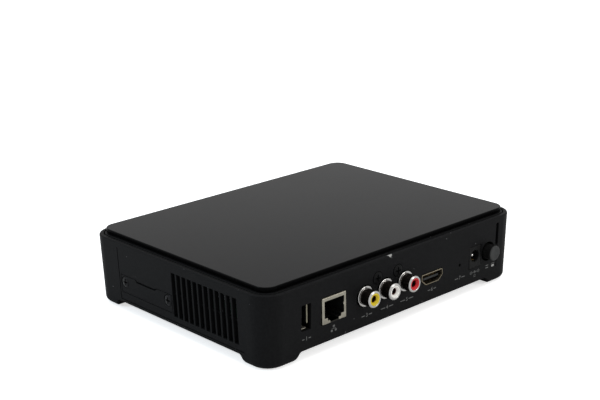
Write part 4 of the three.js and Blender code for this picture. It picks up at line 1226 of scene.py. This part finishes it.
def phonoSocket(colour):
    low, high = span("phono_barrel_" + colour)
    x = (low.x + high.x) / 2
    z = (low.z + high.z) / 2
    step = rearFace(z) + phono["flangeProud"] - low.y
    front = high.y - low.y
    at = turnedTo("rear", (x, low.y, z))
    profile = rounded(
        [
            (phono["bore"], 0),
            (phono["flange"], 0, 0.1),
            (phono["flange"], step, phono["flangeEdge"]),
            (phono["barrel"], step, 0.15),
            (phono["barrel"], front, phono["rimRound"]),
            (phono["bore"], front, 0.2),
        ],
        steps=6,
    )
    barrel = shape("phono_ring_" + colour, lathe(profile, at, 72, closed=True))
    sideFrom = low.y + step + 0.05
    sideTo = high.y - phono["rimRound"] - 0.02
    # painted dark reflection: the barrel's nickel between the flange and the rolled rim is coloured near black
    onPaintedReflection = lambda face: sideFrom < face.center.y < sideTo
    twoFinishes(barrel, finishes["chrome"], finishes["barrelPaintedReflection"], onPaintedReflection)
    done(barrel, None, stands=["phono_barrel_" + colour])
    coreFront = front - phono["coreBack"]
    floor = coreFront - phono["coreHoleDepth"]
    radius = phono["bore"] - phono["coreSlip"]
    throat = coreFront - phono["funnelDeep"]
    core = [(0, 0), (radius, 0), (radius, coreFront, 0.1), (phono["funnel"], coreFront, 0.35)]
    core += [(phono["coreHole"], throat, 0.3), (phono["coreHole"], floor), (0, floor)]
    piece = shape("phono_core_" + colour, lathe(rounded(core, closed=False, steps=4), at, 64))
    done(piece, finishes[colour], stands=["phono_insulator_" + colour])
    outer = phono["coreHole"] - 0.05
    inner = outer - phono["sleeveWall"]
    tube = [(inner, floor + 0.05), (outer, floor + 0.05), (outer, throat - 0.3), (inner, throat - 0.3)]
    sleeve = shape("phono_sleeve_" + colour, lathe(tube, at, 32, closed=True))
    # the sleeve's dark red is painted shade inside the core hole
    done(sleeve, finishes["sleeve"])


for colour in colours:
    phonoSocket(colour)
print("type A, network and phono sockets finished")

# Video socket: a thin shell and a tongue with contacts on both sides
videoParts = {"wall": 0.4, "edge": 0.12, "tongueHalf": 5.6, "tongueThick": 1.3, "pitch": 1.0, "contact": 0.42}


def videoSocket():
    low, high = span("video_socket_shell")
    piece = shape("video_shell", upright(videoOutline(0), low.y, high.y, videoParts["edge"]))
    inner = videoOutline(-videoParts["wall"])
    carve(piece, loft([uprightRing(inner, low.y - 1), uprightRing(inner, high.y + 1)]))
    done(piece, finishes["goldShell"], stands=["video_socket_shell"])
    tongueLow, tongueHigh = span("video_socket_tongue")
    x = (low.x + high.x) / 2
    z = (low.z + high.z) / 2
    base = videoOutline(-videoParts["wall"] - 0.12)
    back, front = tongueLow.y, tongueHigh.y
    foot = back + tongueFoot["deep"]
    core = shape("video_tongue_core", loft([uprightRing(base, back), uprightRing(base, foot)]))
    slab = roundRect(videoParts["tongueHalf"], videoParts["tongueThick"] / 2, 0.2, 3, (x, z))
    weld(core, upright(slab, back + tongueFoot["bladeFrom"], front, 0.2))
    # the tongue's front face gets a lighter black plastic as a painted highlight
    paintedHighlightFront = lambda face: face.center.y > front - 0.02
    twoFinishes(core, finishes["socketBlack"], finishes["buttonFace"], paintedHighlightFront)
    done(core, None, stands=["video_socket_tongue"])
    contacts = []
    for side, count in ((1, 10), (-1, 9)):
        up = z + side * (videoParts["tongueThick"] / 2 + 0.04)
        for index in range(count):
            across = x + (index - (count - 1) / 2) * videoParts["pitch"]
            pad = roundRect(videoParts["contact"] / 2, 0.05, 0.02, 2, (across, up))
            contacts.append(loft([uprightRing(pad, foot), uprightRing(pad, front - 0.9)]))
    done(shape("video_contacts", *contacts), finishes["gold"])


videoSocket()

# Power jack: face with an eased bore, a pin with a round tip, and the leaf contact
jack = {"bore": 3.15, "boreDepth": 10.0, "pin": 1.0, "boreEdge": 0.3, "edge": 0.15, "bow": 0.35}


def powerJack():
    low, high = span("dc_jack_housing")
    pin = centre("dc_jack_pin")
    piece = shape("dc_jack_block", upright(boxOutline("dc_jack_housing", 0), low.y, high.y, jack["edge"]))
    hole = [(0, -jack["boreDepth"]), (jack["bore"], -jack["boreDepth"])]
    hole += [(jack["bore"] + wide, -sunk) for sunk, wide in quarterRound(jack["boreEdge"])]
    hole += [(jack["bore"] + jack["boreEdge"], 1), (0, 1)]
    carve(piece, lathe(hole, turnedTo("rear", (pin.x, high.y, pin.z)), 56))
    done(piece, finishes["jackFace"], stands=["dc_jack_housing"])
    pinLow, pinHigh = span("dc_jack_pin")
    length = pinHigh.y - pinLow.y
    turns = [step / 8 * pi / 2 for step in range(8)]
    tip = [(jack["pin"] * cos(turn), length - jack["pin"] * (1 - sin(turn))) for turn in turns]
    profile = [(0, 0), (jack["pin"], 0)] + tip + [(0, length)]
    made = shape("dc_jack_pin_round", lathe(profile, turnedTo("rear", (pin.x, pinLow.y, pin.z)), 32))
    done(made, finishes["chrome"], stands=["dc_jack_pin"])
    low, high = span("dc_jack_contact")
    middle = (low + high) / 2
    size = high - low
    bow = []
    for step in range(11):
        bow.append((low.y + size.y * step / 10, middle.z + jack["bow"] * sin(pi * step / 10)))
    leaf = shape("dc_jack_leaf", strip(bow, middle.x, size.x, size.z))
    done(leaf, finishes["gold"], stands=["dc_jack_contact"])


powerJack()

# Power button: a round cap with a slightly dished face
button = {"radius": 4.0, "round": 0.5, "flat": 0.8, "dish": 0.18, "stemHalf": 1.57, "stemDeep": 4.12}


def buttonCap():
    low, high = span("power_button_cap")
    length = high.y - low.y
    radius = button["radius"]
    flat = radius * button["flat"]
    corners = [(0, 0), (radius, 0, 0.2), (radius, length, button["round"]), (flat, length)]
    side = rounded(corners, closed=False)
    shares = [step / 6 for step in range(1, 6)]
    dish = [(flat * (1 - share), length - button["dish"] * (1 - (1 - share) ** 2)) for share in shares]
    dish.append((0, length - button["dish"]))
    at = turnedTo("rear", ((low.x + high.x) / 2, low.y, (low.z + high.z) / 2))
    piece = shape("power_cap", lathe(side + dish, at, 64))
    stem = roundRect(button["stemHalf"], button["stemHalf"], 0.1, 2)
    carve(piece, loft([[tuple(at @ Vector((x, y, z))) for x, y in stem] for z in (-1, button["stemDeep"])]))
    front = high.y - button["round"]
    twoFinishes(piece, finishes["socketBlack"], finishes["buttonFace"], lambda face: face.center.y > front)
    return done(piece, None, body="power_button", stands=["power_button_cap"])


buttonCap()
print("video socket, jack and button finished")

# Panel marks: plain digits between dashes, and plain symbols, as thin print on the wall
printThickness = 0.03
printSunk = 0.02
marks = [  # digits, middle x, middle z, half the width
    ("1", 63.2, 10.4, 2.8),
    ("3", 23.6, 10.3, 3.6),
    ("4", 9.5, 10.3, 4.4),
    ("5", -4.7, 10.3, 4.7),
    ("6", -23.3, 10.4, 3.1),
    ("7", -44.9, 10.5, 3.9),
]
digitHeight = 2.0
dash = {"from": 1.3, "half": 0.22}


def printed(outline):
    return loft([rearRing(outline, -printSunk), rearRing(outline, printThickness)])


def bar(x0, x1, z0, z1):
    return printed(boxed(x0, x1, z0, z1, min(x1 - x0, z1 - z0) * 0.2, 2))


def barsAt(x, rows):  # rows of (from, to, low, high), the first two beside x
    return [bar(x + left, x + right, low, high) for left, right, low, high in rows]


def digitSolid(text, x, z, height):
    curve = bpy.data.curves.new("digit", "FONT")
    curve.body = text
    curve.size = height / 0.7
    curve.extrude = printThickness / 2
    curve.offset = height * 0.012
    curve.align_x = "CENTER"
    curve.align_y = "CENTER"
    holder = bpy.data.objects.new("digit", curve)
    scene.collection.objects.link(holder)
    mesh = bpy.data.meshes.new_from_object(holder.evaluated_get(bpy.context.evaluated_depsgraph_get()))
    points = []
    for vertex in mesh.vertices:
        across, up, out = vertex.co
        points.append((x - across, rearFace(z + up) + out + printThickness / 2, z + up))
    faces = [tuple(face.vertices) for face in mesh.polygons]
    bpy.data.objects.remove(holder)
    bpy.data.meshes.remove(mesh)
    return points, faces


def ringSymbol(x, z, radius, thick, steps=24):
    outer = circle(radius, (x, z), steps)
    inner = circle(radius - thick, (x, z), steps)
    rings = [rearRing(outer, -printSunk), rearRing(outer, printThickness)]
    rings += [rearRing(inner, printThickness), rearRing(inner, -printSunk)]
    points = sum(rings, [])
    faces = []
    for start in range(0, len(points), steps):
        onward = (start + steps) % len(points)
        for here in range(steps):
            there = (here + 1) % steps
            faces.append((start + here, start + there, onward + there, onward + here))
    return points, faces


def panelMarks():
    solids = []
    for text, x, z, half in marks:
        solids.append(digitSolid(text, x, z, digitHeight))
        for side in (-1, 1):
            near = x + side * dash["from"]
            far = x + side * half
            solids.append(bar(min(near, far), max(near, far), z - dash["half"], z + dash["half"]))
    # network: three boxes on a branch
    x = centre("network_jack_shield").x - 0.3
    solids += barsAt(x, [(-0.65, 0.65, 10.9, 12.0), (-1.9, -0.7, 8.7, 9.8), (0.7, 1.9, 8.7, 9.8)])
    solids += barsAt(x, [(-0.12, 0.12, 10.35, 10.85), (-1.42, 1.42, 10.1, 10.32)])
    # power jack: centre-pin polarity
    x = centre("dc_jack_pin").x - 0.3
    for off, radius, thick in ((2.9, 0.85, 0.22), (0, 0.75, 0.24), (-2.9, 0.85, 0.22)):
        solids.append(ringSymbol(x + off, 10.6, radius, thick))
    dashes = ((2.5, 3.3), (-3.3, -2.5), (0.85, 2.0), (-2.0, -0.35))
    solids += barsAt(x, [(*ends, 10.48, 10.72) for ends in dashes] + [(-0.3, 0.3, 10.32, 10.88)])
    solids.append(digitSolid("12", x, 8.4, 1.4))
    # power switch: out and in
    x = centre("power_button_cap").x
    solids += [bar(x - 0.9, x + 1.3, 11.35, 11.75), bar(x - 0.9, x + 1.3, 9.95, 10.5)]
    solids.append(bar(x - 5.9, x - 3.3, 11.5, 11.8))
    done(shape("panel_marks", *solids), finishes["print"])
    done(shape("switch_mark", bar(x - 5.6, x - 3.6, 9.7, 10.9)), finishes["mark"])


rimMark = {"x": 8.2, "half": 1.75, "tip": 0.25, "low": 35.9, "inset": 0.9, "steps": 8}


def rimArrow():  # a triangle that points down, laid from the rim's top over its rounded edge
    radius = case["rimRound"]
    path = [(rearFace(rimMark["low"]), rimMark["low"], 1, 0)]
    for step in range(rimMark["steps"] + 1):
        turn = step / rimMark["steps"] * pi / 2
        height = case["rim"] - radius * (1 - sin(turn))
        path.append((rearFace(height) - radius * (1 - cos(turn)), height, cos(turn), sin(turn)))
    path.append((case["halfDepth"] - rimMark["inset"], case["rim"], 0, 1))
    lengths = [hypot(here[0] - there[0], here[1] - there[1]) for here, there in zip(path, path[1:])]
    rings = []
    for index, (y, z, outY, outZ) in enumerate(path):
        share = sum(lengths[:index]) / sum(lengths)
        half = rimMark["tip"] + (rimMark["half"] - rimMark["tip"]) * share
        rings.append([
            (rimMark["x"] + across * half, y + outY * out, z + outZ * out)
            for across, out in ((-1, -printSunk), (1, -printSunk), (1, printThickness), (-1, printThickness))
        ])
    done(shape("rim_arrow", loft(rings)), finishes["mark"])


panelMarks()
rimArrow()
print("panel marks finished")

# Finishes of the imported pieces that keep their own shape
inside = {
    "foam": ["plate_adhesive"],
    "socketBlack": [
        "network_jack_housing",
        "phono_body",
        "coin_cell_holder",
        "power_switch_plunger",
        "reset_switch_plunger",
    ],
    "chip": [
        "reset_switch_body",
        "power_switch_body",
        "processor",
        "memory_chip_a",
        "memory_chip_b",
        "power_inductor",
    ],
    "board": ["main_board"],
    "aluminium": ["heat_sink", "capacitor_a", "capacitor_b", "capacitor_c", "disk_bracket"],
    "cell": ["coin_cell", "disk_drive"],
    "shellTin": ["card_socket"],
    "steel": ["board_screw_1", "board_screw_2", "board_screw_3", "board_screw_4"],
    "ribbon": ["disk_cable"],
    "window": ["infrared_receiver"],
    "clear": ["status_light_pipe"],
}
for name, carried in inside.items():
    for nodeName in carried:
        nodes[nodeName].data.materials.clear()
        nodes[nodeName].data.materials.append(finishes[name])
bare = sorted(n for n, o in nodes.items() if not o.hide_render and n not in sum(inside.values(), []))
print("packed pieces without a finish:", bare)

# Floor, world and lamps
light = {"ambient": 0.55, "floor": 0.9, "floorGlow": 0.62}
lamps = [  # name, place in metres, size, strength as the share of full light that it gives, tint
    ("top lamp", (-0.1, 0.1, 1.5), 1.6, 0.35, (1.0, 1.0, 1.0)),
    ("side lamp", (1.4, -0.6, 0.9), 0.6, 0.35, (0.72, 0.88, 1.0)),
    ("rear lamp", (-0.6, 1.4, 0.76), 0.6, 0.3, (1.0, 0.99, 0.97)),
]


def background():
    world = bpy.data.worlds.new("studio")
    scene.world = world
    world.use_nodes = True
    tree = world.node_tree
    shader = tree.nodes["Background"]
    shader.inputs["Color"].default_value = (1, 1, 1, 1)
    path = tree.nodes.new("ShaderNodeLightPath")
    seen = tree.nodes.new("ShaderNodeMath")
    seen.operation = "MAXIMUM"
    either = tree.nodes.new("ShaderNodeMath")
    either.operation = "MAXIMUM"
    tree.links.new(path.outputs["Is Camera Ray"], seen.inputs[0])
    tree.links.new(path.outputs["Is Glossy Ray"], seen.inputs[1])
    tree.links.new(seen.outputs[0], either.inputs[0])
    tree.links.new(path.outputs["Is Transmission Ray"], either.inputs[1])
    strength = tree.nodes.new("ShaderNodeMapRange")
    strength.inputs["To Min"].default_value = light["ambient"]
    strength.inputs["To Max"].default_value = 1.0
    tree.links.new(either.outputs[0], strength.inputs["Value"])
    tree.links.new(strength.outputs["Result"], shader.inputs["Strength"])


def floorPlane():
    mesh = bpy.data.meshes.new("floor")
    reach = 6.0
    corners = [(-reach, -reach, 0), (reach, -reach, 0), (reach, reach, 0), (-reach, reach, 0)]
    mesh.from_pydata(corners, [], [(0, 1, 2, 3)])
    floor = bpy.data.objects.new("floor", mesh)
    scene.collection.objects.link(floor)
    made = finish("pale floor", (light["floor"],) * 3, 0.9, specular=0.0)
    tree = made.node_tree
    path = tree.nodes.new("ShaderNodeLightPath")
    glow = tree.nodes.new("ShaderNodeMath")
    glow.operation = "MULTIPLY"
    glow.inputs[1].default_value = light["floorGlow"]
    tree.links.new(path.outputs["Is Camera Ray"], glow.inputs[0])
    tree.links.new(glow.outputs[0], shaderOf(made).inputs["Emission Strength"])
    shaderOf(made).inputs["Emission Color"].default_value = (1, 1, 1, 1)
    mesh.materials.append(made)


def studioLamps():
    for name, place, size, share, tint in lamps:
        data = bpy.data.lights.new(name, "AREA")
        data.shape = "DISK"
        data.size = size
        data.color = tint
        distance = Vector(place).length
        data.energy = share * pi * pi * distance * distance
        lamp = bpy.data.objects.new(name, data)
        lamp.location = place
        lamp.rotation_euler = (-Vector(place)).to_track_quat("-Z", "Y").to_euler()
        scene.collection.objects.link(lamp)


background()
floorPlane()
studioLamps()

# Camera, from the place it was solved for
camera = {
    "azimuth": radians(137.24),
    "elevation": radians(17.406),
    "roll": radians(-1.077),
    "distance": 0.6832,
    "lens": 75.78,
    "target": Vector((-0.01646, -0.02575, 0.03986)),
}


def photoCamera():
    data = bpy.data.cameras.new("camera")
    data.lens = camera["lens"]
    data.sensor_width = 36
    data.clip_start = 0.01
    viewer = bpy.data.objects.new("camera", data)
    a, e, r = camera["azimuth"], camera["elevation"], camera["roll"]
    back = Vector((sin(a) * cos(e), -cos(a) * cos(e), sin(e)))
    right = Vector((cos(a), sin(a), 0))
    up = back.cross(right)
    turnedRight = right * cos(r) + up * sin(r)
    turnedUp = up * cos(r) - right * sin(r)
    viewer.matrix_world = Matrix.Translation(camera["target"] + back * camera["distance"]) @ Matrix(
        (turnedRight, turnedUp, back)
    ).transposed().to_4x4()
    scene.collection.objects.link(viewer)
    scene.camera = viewer


photoCamera()
scene.view_settings.view_transform = "Standard"
print("stage, lamps and camera ready")
